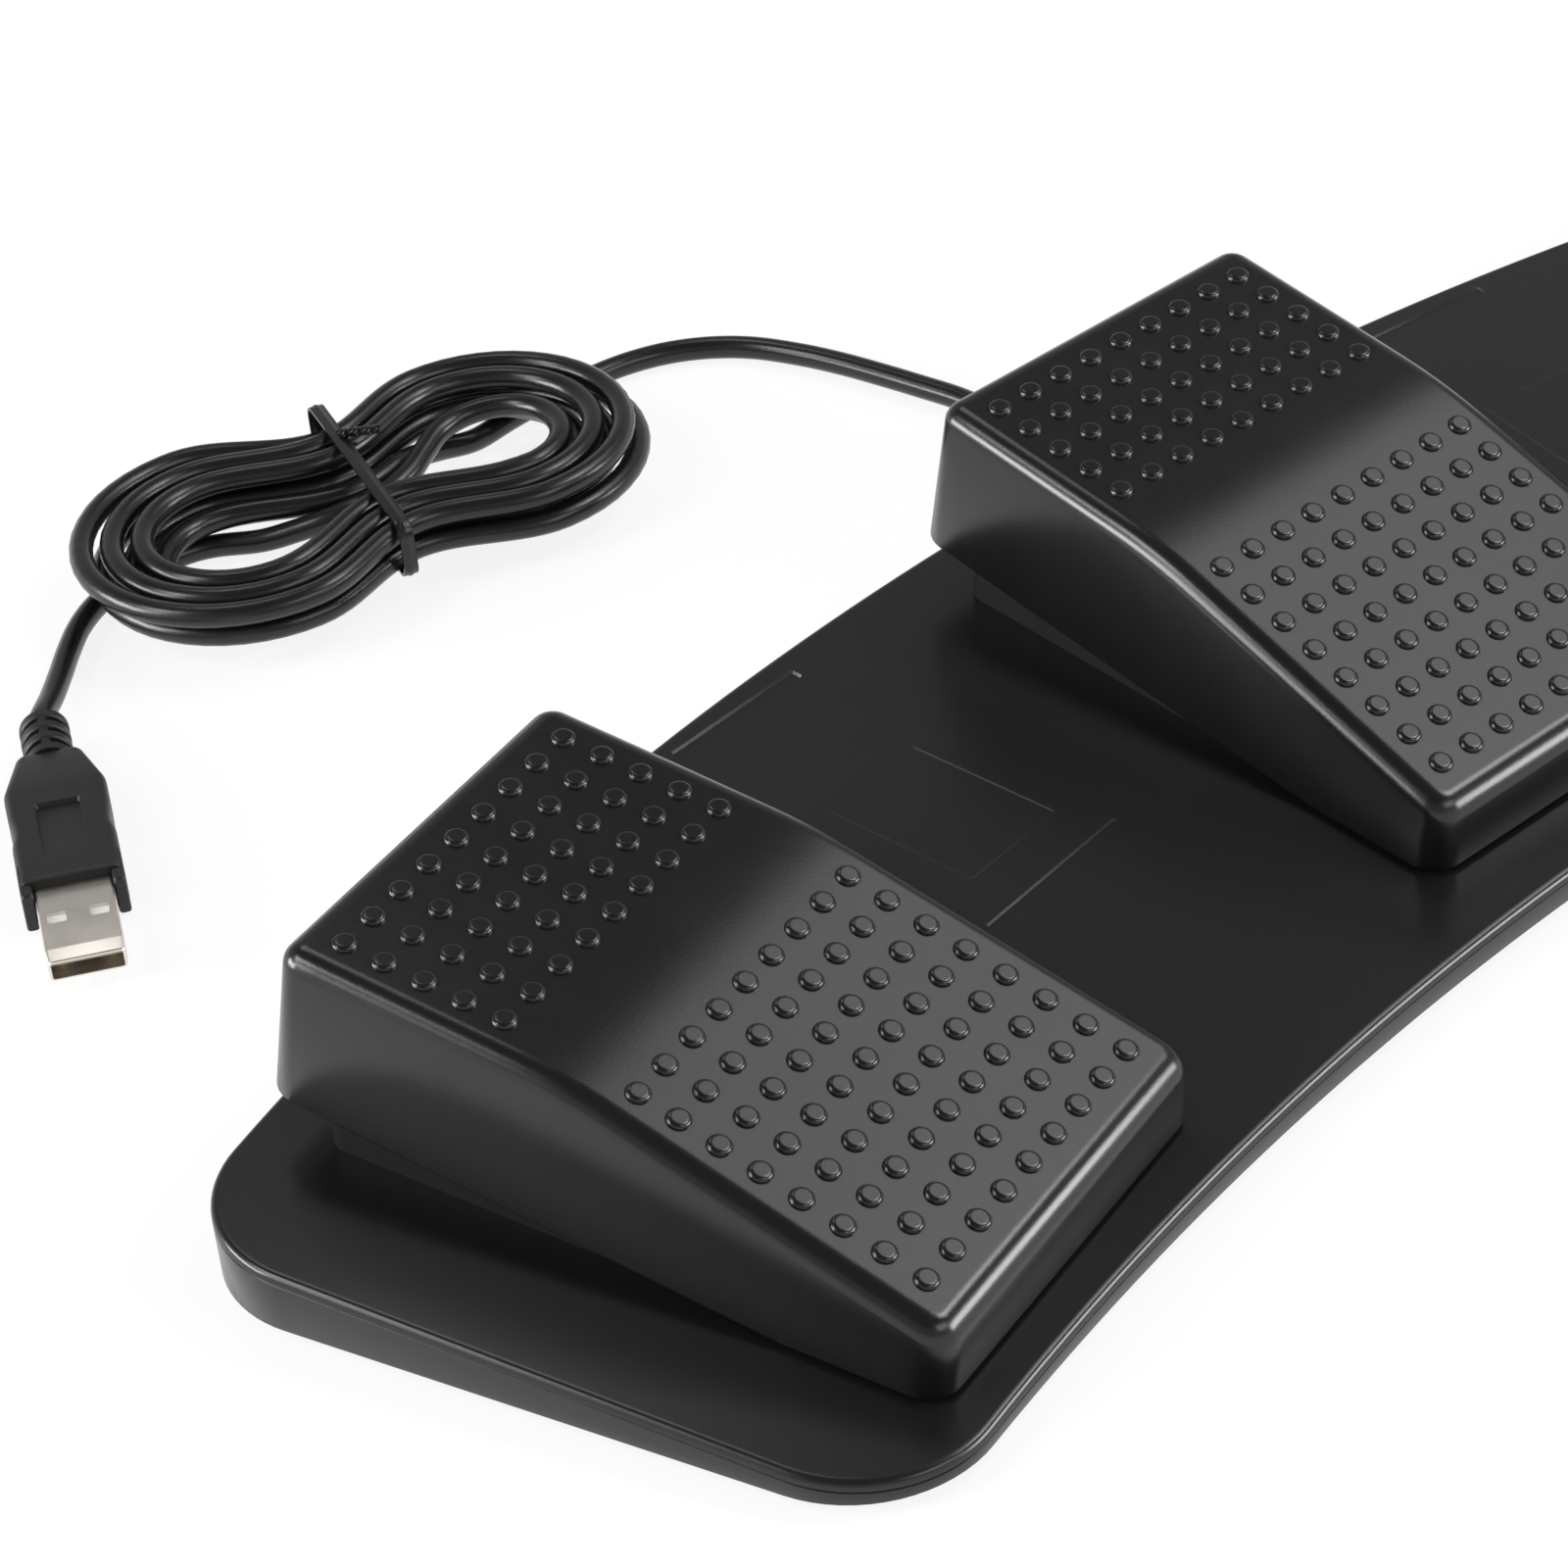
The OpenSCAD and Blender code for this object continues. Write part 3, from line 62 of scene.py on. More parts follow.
class Side(Enum):
    """The three pedals, by their place along the base."""

    LEFT = -1
    MIDDLE = 0
    RIGHT = 1

    @property
    def word(self) -> str:
        """The side as it is written in node and body names."""
        return self.name.lower()


class Grain(Enum):
    """Kinds of surface detail, as fine scale and coarse scale in features per metre."""

    MOULDED = (2600.0, 90.0)
    POLISHED = (900.0, 45.0)
    RUBBER = (1800.0, 140.0)
    SLEEVE = (1200.0, 220.0)
    METAL = (3200.0, 300.0)
    BOARD = (700.0, 160.0)


@dataclass(frozen=True)
class Finish:
    """One procedural finish.

    Args:
        colour: Linear base colour.
        roughness: Mean roughness.
        grain: Kind of fine surface detail.
        bump_mm: Height of the fine detail, in millimetres.
        spread: How far roughness wanders over the surface.
        mottle: How far the colour wanders over the surface.
        metallic: Share of metal.
        specular: Specular level.
    """

    colour: tuple[float, float, float]
    roughness: float
    grain: Grain
    bump_mm: float = 0.01
    spread: float = 0.08
    mottle: float = 0.15
    metallic: float = 0.0
    specular: float = 0.5


FINISHES: dict[str, Finish] = {
    "base_black": Finish((0.0080, 0.0080, 0.0085), 0.26, Grain.POLISHED, 0.006, 0.05, 0.10),
    "cover_grey": Finish((0.0062, 0.0064, 0.0072), 0.23, Grain.MOULDED, 0.012, 0.06, 0.12),
    # The trays' black is partly their own colour and partly painted shade: it is set darker than the
    # base's to stand in for the shade under the raised covers.
    "tray_black": Finish((0.004, 0.004, 0.0045), 0.50, Grain.MOULDED, 0.012, specular=0.3),
    "bottom_black": Finish((0.014, 0.014, 0.015), 0.55, Grain.MOULDED, 0.020),
    "foot_rubber": Finish((0.010, 0.010, 0.010), 0.80, Grain.RUBBER, 0.020),
    "screw_steel": Finish((0.52, 0.52, 0.53), 0.34, Grain.METAL, 0.004, 0.10, 0.08, 1.0),
    "pin_steel": Finish((0.60, 0.60, 0.62), 0.25, Grain.METAL, 0.003, 0.08, 0.06, 1.0),
    "spring_steel": Finish((0.50, 0.51, 0.53), 0.30, Grain.METAL, 0.003, 0.08, 0.08, 1.0),
    "switch_cream": Finish((0.58, 0.54, 0.45), 0.48, Grain.MOULDED, 0.008),
    "plunger_red": Finish((0.30, 0.02, 0.02), 0.42, Grain.MOULDED, 0.006),
    "wire_red": Finish((0.25, 0.015, 0.012), 0.45, Grain.SLEEVE, 0.006),
    "board_green": Finish((0.02, 0.13, 0.05), 0.30, Grain.BOARD, 0.010, 0.10, 0.30),
    "chip_black": Finish((0.014, 0.014, 0.015), 0.50, Grain.MOULDED, 0.006),
    "header_white": Finish((0.75, 0.73, 0.66), 0.45, Grain.MOULDED, 0.006),
    "cord_black": Finish((0.0060, 0.0060, 0.0066), 0.28, Grain.SLEEVE, 0.006),
    "tie_black": Finish((0.006, 0.006, 0.007), 0.30, Grain.SLEEVE, 0.006),
    "plug_black": Finish((0.0050, 0.0050, 0.0055), 0.46, Grain.MOULDED, 0.018, 0.06),
    "shell_nickel": Finish((0.80, 0.74, 0.67), 0.34, Grain.METAL, 0.004, 0.10, 0.10, 1.0),
    "tongue_white": Finish((0.70, 0.69, 0.66), 0.45, Grain.MOULDED, 0.005),
    "contact_gold": Finish((0.75, 0.55, 0.22), 0.24, Grain.METAL, 0.003, 0.06, 0.06, 1.0),
}


@dataclass
class MaterialShop:
    """Makes one procedural material per finish, on one shared surface group."""

    GROUP = "moulded_surface"
    FINE_DETAIL = 2.0
    COARSE_DETAIL = 3.0
    NOISE_MIDDLE = 0.5
    SWING_GAIN = 2.0

    finishes: dict[str, Finish]
    made: dict[str, bpy.types.Material] = field(default_factory=dict)

    def __post_init__(self) -> None:
        """Builds the shared group."""
        self.group = self._surface_group()

    def _surface_group(self) -> bpy.types.NodeTree:
        """Builds the shared group: mottled colour, wandering roughness and fine bumps.

        Returns:
            The shader node group.
        """
        tree = bpy.data.node_groups.new(self.GROUP, "ShaderNodeTree")
        face = tree.interface
        for name, kind in (("Colour", "NodeSocketColor"), ("Mottle", "NodeSocketFloat"),
                           ("Roughness", "NodeSocketFloat"), ("Spread", "NodeSocketFloat"),
                           ("Fine", "NodeSocketFloat"), ("Coarse", "NodeSocketFloat"),
                           ("Height", "NodeSocketFloat")):
            face.new_socket(name, in_out="INPUT", socket_type=kind)
        for name, kind in (("Colour", "NodeSocketColor"), ("Roughness", "NodeSocketFloat"),
                           ("Normal", "NodeSocketVector")):
            face.new_socket(name, in_out="OUTPUT", socket_type=kind)
        nodes, links = tree.nodes, tree.links
        source = nodes.new("NodeGroupInput")
        sink = nodes.new("NodeGroupOutput")
        place = nodes.new("ShaderNodeTexCoord")

        def noise(scale: bpy.types.NodeSocket, detail: float) -> bpy.types.NodeSocket:
            """Adds a noise texture on Object coordinates.

            Args:
                scale: The socket that gives its scale.
                detail: Its octaves.

            Returns:
                Its value socket.
            """
            node = nodes.new("ShaderNodeTexNoise")
            node.inputs["Detail"].default_value = detail
            links.new(place.outputs["Object"], node.inputs["Vector"])
            links.new(scale, node.inputs["Scale"])
            return node.outputs["Fac"]

        def math_node(kind: str, a: bpy.types.NodeSocket | float,
                      b: bpy.types.NodeSocket | float) -> bpy.types.NodeSocket:
            """Adds a math node on two values.

            Args:
                kind: The operation.
                a: The first value.
                b: The second value.

            Returns:
                The result's socket.
            """
            node = nodes.new("ShaderNodeMath")
            node.operation = kind
            for slot, value in zip(node.inputs, (a, b)):
                if isinstance(value, float):
                    slot.default_value = value
                else:
                    links.new(value, slot)
            return node.outputs[0]

        fine = noise(source.outputs["Fine"], self.FINE_DETAIL)
        coarse = noise(source.outputs["Coarse"], self.COARSE_DETAIL)
        centred = math_node("SUBTRACT", coarse, self.NOISE_MIDDLE)
        wander = math_node("MULTIPLY", centred, source.outputs["Spread"])
        links.new(math_node("ADD", wander, source.outputs["Roughness"]), sink.inputs["Roughness"])
        swing = math_node("MULTIPLY", centred, source.outputs["Mottle"])
        tone = math_node("MULTIPLY_ADD", swing, self.SWING_GAIN)
        tone.node.inputs[2].default_value = 1.0
        tint = nodes.new("ShaderNodeVectorMath")
        tint.operation = "SCALE"
        links.new(source.outputs["Colour"], tint.inputs[0])
        links.new(tone, tint.inputs["Scale"])
        links.new(tint.outputs[0], sink.inputs["Colour"])
        bump = nodes.new("ShaderNodeBump")
        bump.inputs["Strength"].default_value = 1.0
        links.new(source.outputs["Height"], bump.inputs["Distance"])
        links.new(fine, bump.inputs["Height"])
        links.new(bump.outputs["Normal"], sink.inputs["Normal"])
        return tree

    def get(self, name: str) -> bpy.types.Material:
        """Gives the material of a finish, made on first use.

        Args:
            name: The finish's name, which is also its material slot in the record.

        Returns:
            The material.
        """
        if name not in self.made:
            self.made[name] = self._make(name, self.finishes[name])
        return self.made[name]

    def _make(self, name: str, finish: Finish) -> bpy.types.Material:
        """Makes the material of a finish.

        Args:
            name: The finish's name.
            finish: The finish.

        Returns:
            The material.
        """
        material = bpy.data.materials.new(f"finish_{name}")
        material.use_nodes = True
        nodes, links = material.node_tree.nodes, material.node_tree.links
        shader = nodes["Principled BSDF"]
        shader.inputs["Metallic"].default_value = finish.metallic
        shader.inputs["Specular IOR Level"].default_value = finish.specular
        surface = nodes.new("ShaderNodeGroup")
        surface.node_tree = self.group
        fine, coarse = finish.grain.value
        for socket, value in (("Colour", (*finish.colour, 1.0)), ("Mottle", finish.mottle),
                              ("Roughness", finish.roughness), ("Spread", finish.spread),
                              ("Fine", fine), ("Coarse", coarse),
                              ("Height", finish.bump_mm * MM)):
            surface.inputs[socket].default_value = value
        for given, taken in (("Colour", "Base Color"), ("Roughness", "Roughness"), ("Normal", "Normal")):
            links.new(surface.outputs[given], shader.inputs[taken])
        return material


SHOP = MaterialShop(FINISHES)


def add_object(name: str, data: bpy.types.ID) -> bpy.types.Object:
    """Makes an object and links it to the scene.

    Args:
        name: Its name.
        data: Its mesh, curve, lamp or camera data.

    Returns:
        The object.
    """
    made = bpy.data.objects.new(name, data)
    bpy.context.scene.collection.objects.link(made)
    return made


def shade(mesh: bpy.types.Mesh, sharp_deg: float) -> None:
    """Keeps sharp edges crisp and flat faces flat.

    Args:
        mesh: The mesh.
        sharp_deg: Edges sharper than this stay crisp.
    """
    smooth = [face.use_smooth for face in mesh.polygons]
    mesh.set_sharp_from_angle(angle=math.radians(sharp_deg))
    for face, soft in zip(mesh.polygons, smooth):
        face.use_smooth = soft


@dataclass
class Mesher:
    """Collects points and faces in millimetres and makes one mesh piece of them."""

    points: list[Vector] = field(default_factory=list)
    faces: list[tuple[int, ...]] = field(default_factory=list)
    flat: set[int] = field(default_factory=set)

    def ring(self, points: Iterable[Sequence[float]]) -> list[int]:
        """Adds points.

        Args:
            points: The points, in millimetres.

        Returns:
            Their indices.
        """
        first = len(self.points)
        self.points.extend(Vector(p) for p in points)
        return list(range(first, len(self.points)))

    def band(self, a: Sequence[int], b: Sequence[int], closed: bool = True) -> None:
        """Joins two rings of equal length with quads.

        Args:
            a: The first ring.
            b: The second ring.
            closed: Whether the rings run round to their start.
        """
        count = len(a)
        for i in range(count if closed else count - 1):
            j = (i + 1) % count
            self.faces.append((a[i], a[j], b[j], b[i]))

    def fill(self, *loops: Sequence[int]) -> None:
        """Fills a flat loop with triangles.

        Args:
            loops: The loop, then any loops inside it that stay open.
        """
        order = [i for loop in loops for i in loop]
        for tri in tessellate_polygon([[self.points[i] for i in loop] for loop in loops]):
            self.flat.add(len(self.faces))
            self.faces.append(tuple(order[k] for k in tri))

    def skin(self, rings: Sequence[Sequence[int]], ends: bool = True) -> None:
        """Joins rings in turn.

        Args:
            rings: The rings, all of one length.
            ends: Whether the first and the last are filled.
        """
        for a, b in zip(rings, rings[1:]):
            self.band(a, b)
        if ends:
            self.fill(rings[0])
            self.fill(rings[-1])

    def merge(self, other: bpy.types.Mesh, place: Matrix) -> None:
        """Adds a Blender mesh given in millimetres.

        Args:
            other: The mesh to add.
            place: Its place in this mesh's frame.
        """
        first = len(self.points)
        self.points.extend(place @ v.co for v in other.vertices)
        self.faces.extend(tuple(first + i for i in p.vertices) for p in other.polygons)

    def make(self, name: str, finish: str, place: Matrix | None = None,
             sharp_deg: float = SHARP_DEG) -> bpy.types.Object:
        """Makes the piece.

        Args:
            name: The piece's name.
            finish: Its finish.
            place: The frame that the points are in, in millimetres.
            sharp_deg: Edges sharper than this stay crisp.

        Returns:
            The object, at the origin, in metres.
        """
        matrix = Matrix.Scale(MM, 4) @ (place or Matrix.Identity(4))
        mesh = bpy.data.meshes.new(name)
        mesh.from_pydata([matrix @ p for p in self.points], [], self.faces)
        work = bmesh.new()
        work.from_mesh(mesh)
        for face in work.faces:
            face.smooth = face.index not in self.flat
        bmesh.ops.remove_doubles(work, verts=work.verts, dist=MERGE_DIST)
        bmesh.ops.recalc_face_normals(work, faces=work.faces)
        work.to_mesh(mesh)
        work.free()
        shade(mesh, sharp_deg)
        mesh.materials.append(SHOP.get(finish))
        return add_object(name, mesh)


def settle(piece: bpy.types.Object, body: str, finish: str, *nodes: str) -> bpy.types.Object:
    """Lets a piece ride on a body and stand for CAD nodes.

    Args:
        piece: The piece.
        body: The body that it rides on.
        finish: Not used.
        nodes: The CAD nodes that it replaces.

    Returns:
        The piece.
    """
    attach(piece, body)
    if nodes:
        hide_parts(*nodes)
    return piece


def plain_mesh(piece: bpy.types.Object) -> bpy.types.Object:
    """Turns a piece with modifiers into a plain mesh and takes the modifiers off.

    Args:
        piece: The piece.

    Returns:
        The same piece.
    """
    graph = bpy.context.evaluated_depsgraph_get()
    made = bpy.data.meshes.new_from_object(piece.evaluated_get(graph))
    piece.modifiers.clear()
    piece.data = made
    return piece


def carve(piece: bpy.types.Object, cutters: Sequence[bpy.types.Object],
          sharp_deg: float = SHARP_DEG) -> bpy.types.Object:
    """Cuts closed meshes out of a piece and removes them.

    Args:
        piece: The piece to cut.
        cutters: What is cut away.
        sharp_deg: Edges sharper than this stay crisp.

    Returns:
        The piece.
    """
    for cutter in cutters:
        step = piece.modifiers.new("cut", "BOOLEAN")
        step.operation = "DIFFERENCE"
        step.solver = "EXACT"
        step.object = cutter
    plain_mesh(piece)
    for cutter in cutters:
        bpy.data.objects.remove(cutter)
    shade(piece.data, sharp_deg)
    return piece


def arc(centre: Sequence[float], r: float, start: float, stop: float, steps: int) -> Plan:
    """Points of an arc in plan, angles in degrees."""
    turn = [math.radians(start + (stop - start) * i / steps) for i in range(steps + 1)]
    return [(centre[0] + r * math.cos(a), centre[1] + r * math.sin(a)) for a in turn]


def rounded(half_x: float, half_y: float, r: float, steps: int = 5) -> Plan:
    """A closed rounded rectangle round the origin.

    Args:
        half_x: Half its width.
        half_y: Half its height.
        r: Corner radius.
        steps: Steps in a corner.

    Returns:
        Its points.
    """
    plan: Plan = []
    for sx, sy, start in ((1, 1, 0), (-1, 1, 90), (-1, -1, 180), (1, -1, 270)):
        plan += arc((sx * (half_x - r), sy * (half_y - r)), r, start, start + 90, steps)
    return plan


def bearing(a: Sequence[float], b: Sequence[float]) -> float:
    """Bearing from a to b in degrees."""
    return math.degrees(math.atan2(b[1] - a[1], b[0] - a[0]))


@dataclass(frozen=True)
class BaseSize:
    """Sizes of the base, in millimetres and degrees."""

    width: float = 410.0
    depth: float = 148.0
    front_h: float = 3.4
    tilt: float = 4.0
    arc_r: float = 550.0
    corner_r: float = 20.0
    side_angle: float = 17.5
    foot_h: float = 1.5
    recess_in: float = 3.0
    recess_h: float = 1.53
    recess_lap: float = 2.0
    nose_r: float = 594.4
    edge_r: float = 1.1
    rim_margin: float = 0.25
    mark_corner: float = 0.1

    def top(self, y: float) -> float:
        """Height of the base's top over the floor."""
        return self.foot_h + self.front_h + (y + self.depth / 2) * math.tan(math.radians(self.tilt))


@dataclass
class BaseOutline:
    """Plan of the base: a rear arc, a front arc, two slanted sides and concentric corners."""

    FRONT_STEPS = 30
    FRONT_CORNER_STEPS = 16
    REAR_CORNER_STEPS = 18
    REAR_STEPS = 34

    size: BaseSize

    def __post_init__(self) -> None:
        """Finds the centres of the arcs and of the left corners."""
        size = self.size
        a = math.radians(size.side_angle)
        self.rear_centre = (0.0, size.depth / 2 - size.arc_r)
        ex = size.corner_r - size.width / 2
        ey = self.rear_centre[1] + math.sqrt((size.arc_r - size.corner_r) ** 2 - ex ** 2)
        self.rear_corner = (ex, ey)
        fy = size.corner_r - size.depth / 2
        fx = (math.cos(a) * ex + math.sin(a) * (ey - fy)) / math.cos(a)
        self.front_corner = (fx, fy)
        self.front_centre = (0.0, fy - math.sqrt((size.arc_r + size.corner_r) ** 2 - fx ** 2))
        self.side_bearing = 180.0 + size.side_angle

    def loop(self, inset: float) -> Plan:
        """The closed outline, drawn in by an inset.

        Args:
            inset: Distance from the outer edge.

        Returns:
            Points in order round the base.
        """
        size = self.size
        side = self.side_bearing
        half = (
            arc(self.front_centre, size.arc_r + inset, 90,
                bearing(self.front_centre, self.front_corner), self.FRONT_STEPS)[:-1]
            + arc(self.front_corner, size.corner_r - inset,
                  bearing(self.front_corner, self.front_centre) % 360, side, self.FRONT_CORNER_STEPS)
            + arc(self.rear_corner, size.corner_r - inset, side,
                  bearing(self.rear_centre, self.rear_corner), self.REAR_CORNER_STEPS)[:-1]
            + arc(self.rear_centre, size.arc_r - inset,
                  bearing(self.rear_centre, self.rear_corner), 90, self.REAR_STEPS)
        )
        return half + [(-x, y) for x, y in reversed(half[1:-1])]

    def recess(self) -> Plan:
        """Outline of the bottom cover's seat: the inset outline behind the solid nose.

        Returns:
            Points in order round the seat.
        """
        size, centre = self.size, self.front_centre
        near = size.nose_r - size.recess_lap
        keep = [p for p in self.loop(size.recess_in) if math.dist(p, centre) > near]
        split = next(i for i, p in enumerate(keep) if p[0] < 0)
        ordered = keep[split:] + keep[:split]
        return ordered + arc(centre, near, bearing(centre, ordered[-1]), bearing(centre, ordered[0]),
                             self.FRONT_STEPS)


@dataclass(frozen=True)
class Mark:
    """A shallow mark of the moulding, in millimetres and degrees."""

    x: float
    y: float
    half_l: float
    half_w: float
    turn: float
    depth: float
    bevel: float


@dataclass
class BasePlate:
    """The wedge-shaped base with its rounded rim and its shallow moulding marks.

    RIM_STEPS is in degrees, GROOVE in inset and drop, and LOWER_EDGE in inset and lift.
    """

    RIM_STEPS = (0.0, 18.0, 36.0, 54.0, 72.0, 90.0)
    GROOVE = ((0.0, 1.35), (0.16, 1.45), (0.16, 1.6), (0.0, 1.7))
    LOWER_EDGE = ((0.0, 0.35), (0.12, 0.1), (0.35, 0.0))
    MARKS = (Mark(76.8, 63.5, 13.3, 0.9, 5.2, 0.4, 0.3), Mark(71.7, 24.0, 9.7, 13.2, 8.0, 0.05, 0.3),
             Mark(70.4, 2.2, 15.3, 0.12, 8.6, 0.3, 0.3))
    MARK_STEPS = 3
    SHARP_DEG = 30.0

    size: BaseSize = BaseSize()

    def __post_init__(self) -> None:
        """Draws the plan."""
        self.outline = BaseOutline(self.size)

    def _mark(self, mesh: Mesher, mark: Mark, side: int) -> list[int]:
        """Adds one shallow mark's walls and floor.

        Args:
            mesh: The mesh that it goes into.
            mark: The mark.
            side: -1 for the left half of the base and 1 for the right.

        Returns:
            The loop on the base's top that the mark leaves open.
        """
        turn = math.radians(-side * mark.turn)
        c, s = math.cos(turn), math.sin(turn)
        rings = []
        for grow, drop in ((mark.bevel, 0.0), (0.0, mark.depth)):
            shape = rounded(mark.half_l + grow, mark.half_w + grow, self.size.mark_corner + grow,
                            self.MARK_STEPS)
            plan = [(side * mark.x + c * u - s * v, mark.y + s * u + c * v) for u, v in shape]
            rings.append(mesh.ring((x, y, self.size.top(y) - drop) for x, y in plan))
        mesh.band(*rings)
        mesh.fill(rings[1])
        return rings[0]

    def build(self) -> bpy.types.Object:
        """Makes the base.

        Returns:
            The piece, which stands for the base_plate node.
        """
        size, mesh = self.size, Mesher()
        r = size.edge_r

        def below_top(inset: float, drop: float) -> list[int]:
            """A ring of the outline, under the base's top."""
            return mesh.ring((x, y, size.top(y) - drop) for x, y in self.outline.loop(inset))

        rings = [below_top(r + size.rim_margin, 0.0)]
        rings += [below_top(r * (1 - math.sin(math.radians(a))), r * (1 - math.cos(math.radians(a))))
                  for a in self.RIM_STEPS]
        rings += [below_top(inset, drop) for inset, drop in self.GROOVE]
        for inset, lift in self.LOWER_EDGE:
            rings.append(mesh.ring((x, y, size.foot_h + lift) for x, y in self.outline.loop(inset)))
        mesh.skin(rings, ends=False)
        marks = [self._mark(mesh, mark, side) for side in (-1, 1) for mark in self.MARKS]
        mesh.fill(rings[0], *marks)
        recess = self.outline.recess()
        mouth = mesh.ring((x, y, size.foot_h) for x, y in recess)
        roof = mesh.ring((x, y, size.foot_h + size.recess_h) for x, y in recess)
        mesh.band(mouth, roof)
        mesh.fill(roof)
        mesh.fill(rings[-1], mouth)
        piece = mesh.make("base_shell", "base_black", sharp_deg=self.SHARP_DEG)
        return settle(piece, BASE_BODY, "base_black", "base_plate")


@dataclass(frozen=True)
class PedalSize:
    """Sizes of a pedal cover and its place, in millimetres and degrees."""

    side_x: float = 128.0
    side_y: float = 19.4
    yaw: float = 15.3
    setback: float = 106.5
    hinge_y: float = 14.0
    hinge_z: float = 5.0
    rest_tilt: float = 6.0
    width: float = 67.6
    front_v: float = -20.9
    rear_v: float = 87.5
    height: float = 20.7
    bend: float = 10.7
    bend_v: float = 40.4
    bend_soft: float = 8.0
    wall: float = 2.2
    draft: float = 3.2
    fillet: float = 3.0
    corner_r: float = 5.0
    least_corner: float = 0.4
    top_margin: float = 0.3
    skirt: float = 4.8
    knee_v: float = 3.5
    stud_r: float = 1.85
    stud_h: float = 0.7
    pitch: float = 6.5
    columns: int = 9
    front_rows: int = 8
    rear_rows: int = 5
    first_stud_stand: float = 14.2
    rear_stud_gap: float = 12.5


@dataclass
class StudField:
    """Makes grids of studs with Geometry Nodes.

    PROFILE is in shares of a stud's radius and height.
    """

    PROFILE = ((1.02, -0.15), (1.0, 0.05), (0.987, 0.259), (0.949, 0.5), (0.889, 0.707), (0.81, 0.866),
               (0.718, 0.966), (0.62, 1.0), (0.5, 1.0))
    SPOKES = 20

    size: PedalSize

    def __post_init__(self) -> None:
        """Makes the pattern stud and the node tree."""
        self.stud = self._stud()
        self.tree, self.sockets = self._tree()

    def _stud(self) -> bpy.types.Object:
        """Makes one stud: a low round button with a soft edge.

        Returns:
            The pattern stud.
        """
        size, mesh = self.size, Mesher()
        turns = [2 * math.pi * k / self.SPOKES for k in range(self.SPOKES)]
        rings = []
        for share, z in self.PROFILE:
            r = size.stud_r * share
            rings.append(mesh.ring((r * math.cos(a), r * math.sin(a), size.stud_h * z) for a in turns))
        mesh.skin(rings, ends=False)
        mesh.fill(rings[-1])
        return mesh.make("stud_pattern", "cover_grey", Matrix.Scale(1 / MM, 4))

    def _tree(self) -> tuple[bpy.types.NodeTree, dict[str, str]]:
        """The node tree that repeats the stud over a grid.

        Returns:
            The tree, and its input sockets' identifiers by name.
        """
        tree = bpy.data.node_groups.new("stud_field", "GeometryNodeTree")
        sockets = {}
        for name, kind in (("Columns", "NodeSocketInt"), ("Rows", "NodeSocketInt"),
                           ("Width", "NodeSocketFloat"), ("Length", "NodeSocketFloat"),
                           ("Stud", "NodeSocketObject"), ("Material", "NodeSocketMaterial")):
            socket = tree.interface.new_socket(name, in_out="INPUT", socket_type=kind)
            sockets[name] = socket.identifier
        tree.interface.new_socket("Geometry", in_out="OUTPUT", socket_type="NodeSocketGeometry")
        nodes, links = tree.nodes, tree.links
        source = nodes.new("NodeGroupInput")
        sink = nodes.new("NodeGroupOutput")
        grid = nodes.new("GeometryNodeMeshGrid")
        stud = nodes.new("GeometryNodeObjectInfo")
        spread = nodes.new("GeometryNodeInstanceOnPoints")
        real = nodes.new("GeometryNodeRealizeInstances")
        paint = nodes.new("GeometryNodeSetMaterial")
        links.new(source.outputs["Columns"], grid.inputs["Vertices X"])
        links.new(source.outputs["Rows"], grid.inputs["Vertices Y"])
        links.new(source.outputs["Width"], grid.inputs["Size X"])
        links.new(source.outputs["Length"], grid.inputs["Size Y"])
        links.new(source.outputs["Stud"], stud.inputs["Object"])
        links.new(grid.outputs["Mesh"], spread.inputs["Points"])
        links.new(stud.outputs["Geometry"], spread.inputs["Instance"])
        links.new(spread.outputs["Instances"], real.inputs["Geometry"])
        links.new(real.outputs["Geometry"], paint.inputs["Geometry"])
        links.new(source.outputs["Material"], paint.inputs["Material"])
        links.new(paint.outputs["Geometry"], sink.inputs["Geometry"])
        return tree, sockets

    def patch(self, rows: int) -> bpy.types.Mesh:
        """Makes one grid of studs as a plain mesh, in millimetres, round its middle.

        Args:
            rows: Rows in the grid.

        Returns:
            The mesh.
        """
        holder = add_object("stud_patch", bpy.data.meshes.new("stud_patch"))
        step = holder.modifiers.new("studs", "NODES")
        step.node_group = self.tree
        for name, value in (("Columns", self.size.columns), ("Rows", rows),
                            ("Width", (self.size.columns - 1) * self.size.pitch),
                            ("Length", (rows - 1) * self.size.pitch),
                            ("Stud", self.stud), ("Material", SHOP.get("cover_grey"))):
            step[self.sockets[name]] = value
        made = plain_mesh(holder).data
        bpy.data.objects.remove(holder)
        return made

    def clear(self) -> None:
        """Removes the pattern stud."""
        bpy.data.objects.remove(self.stud)


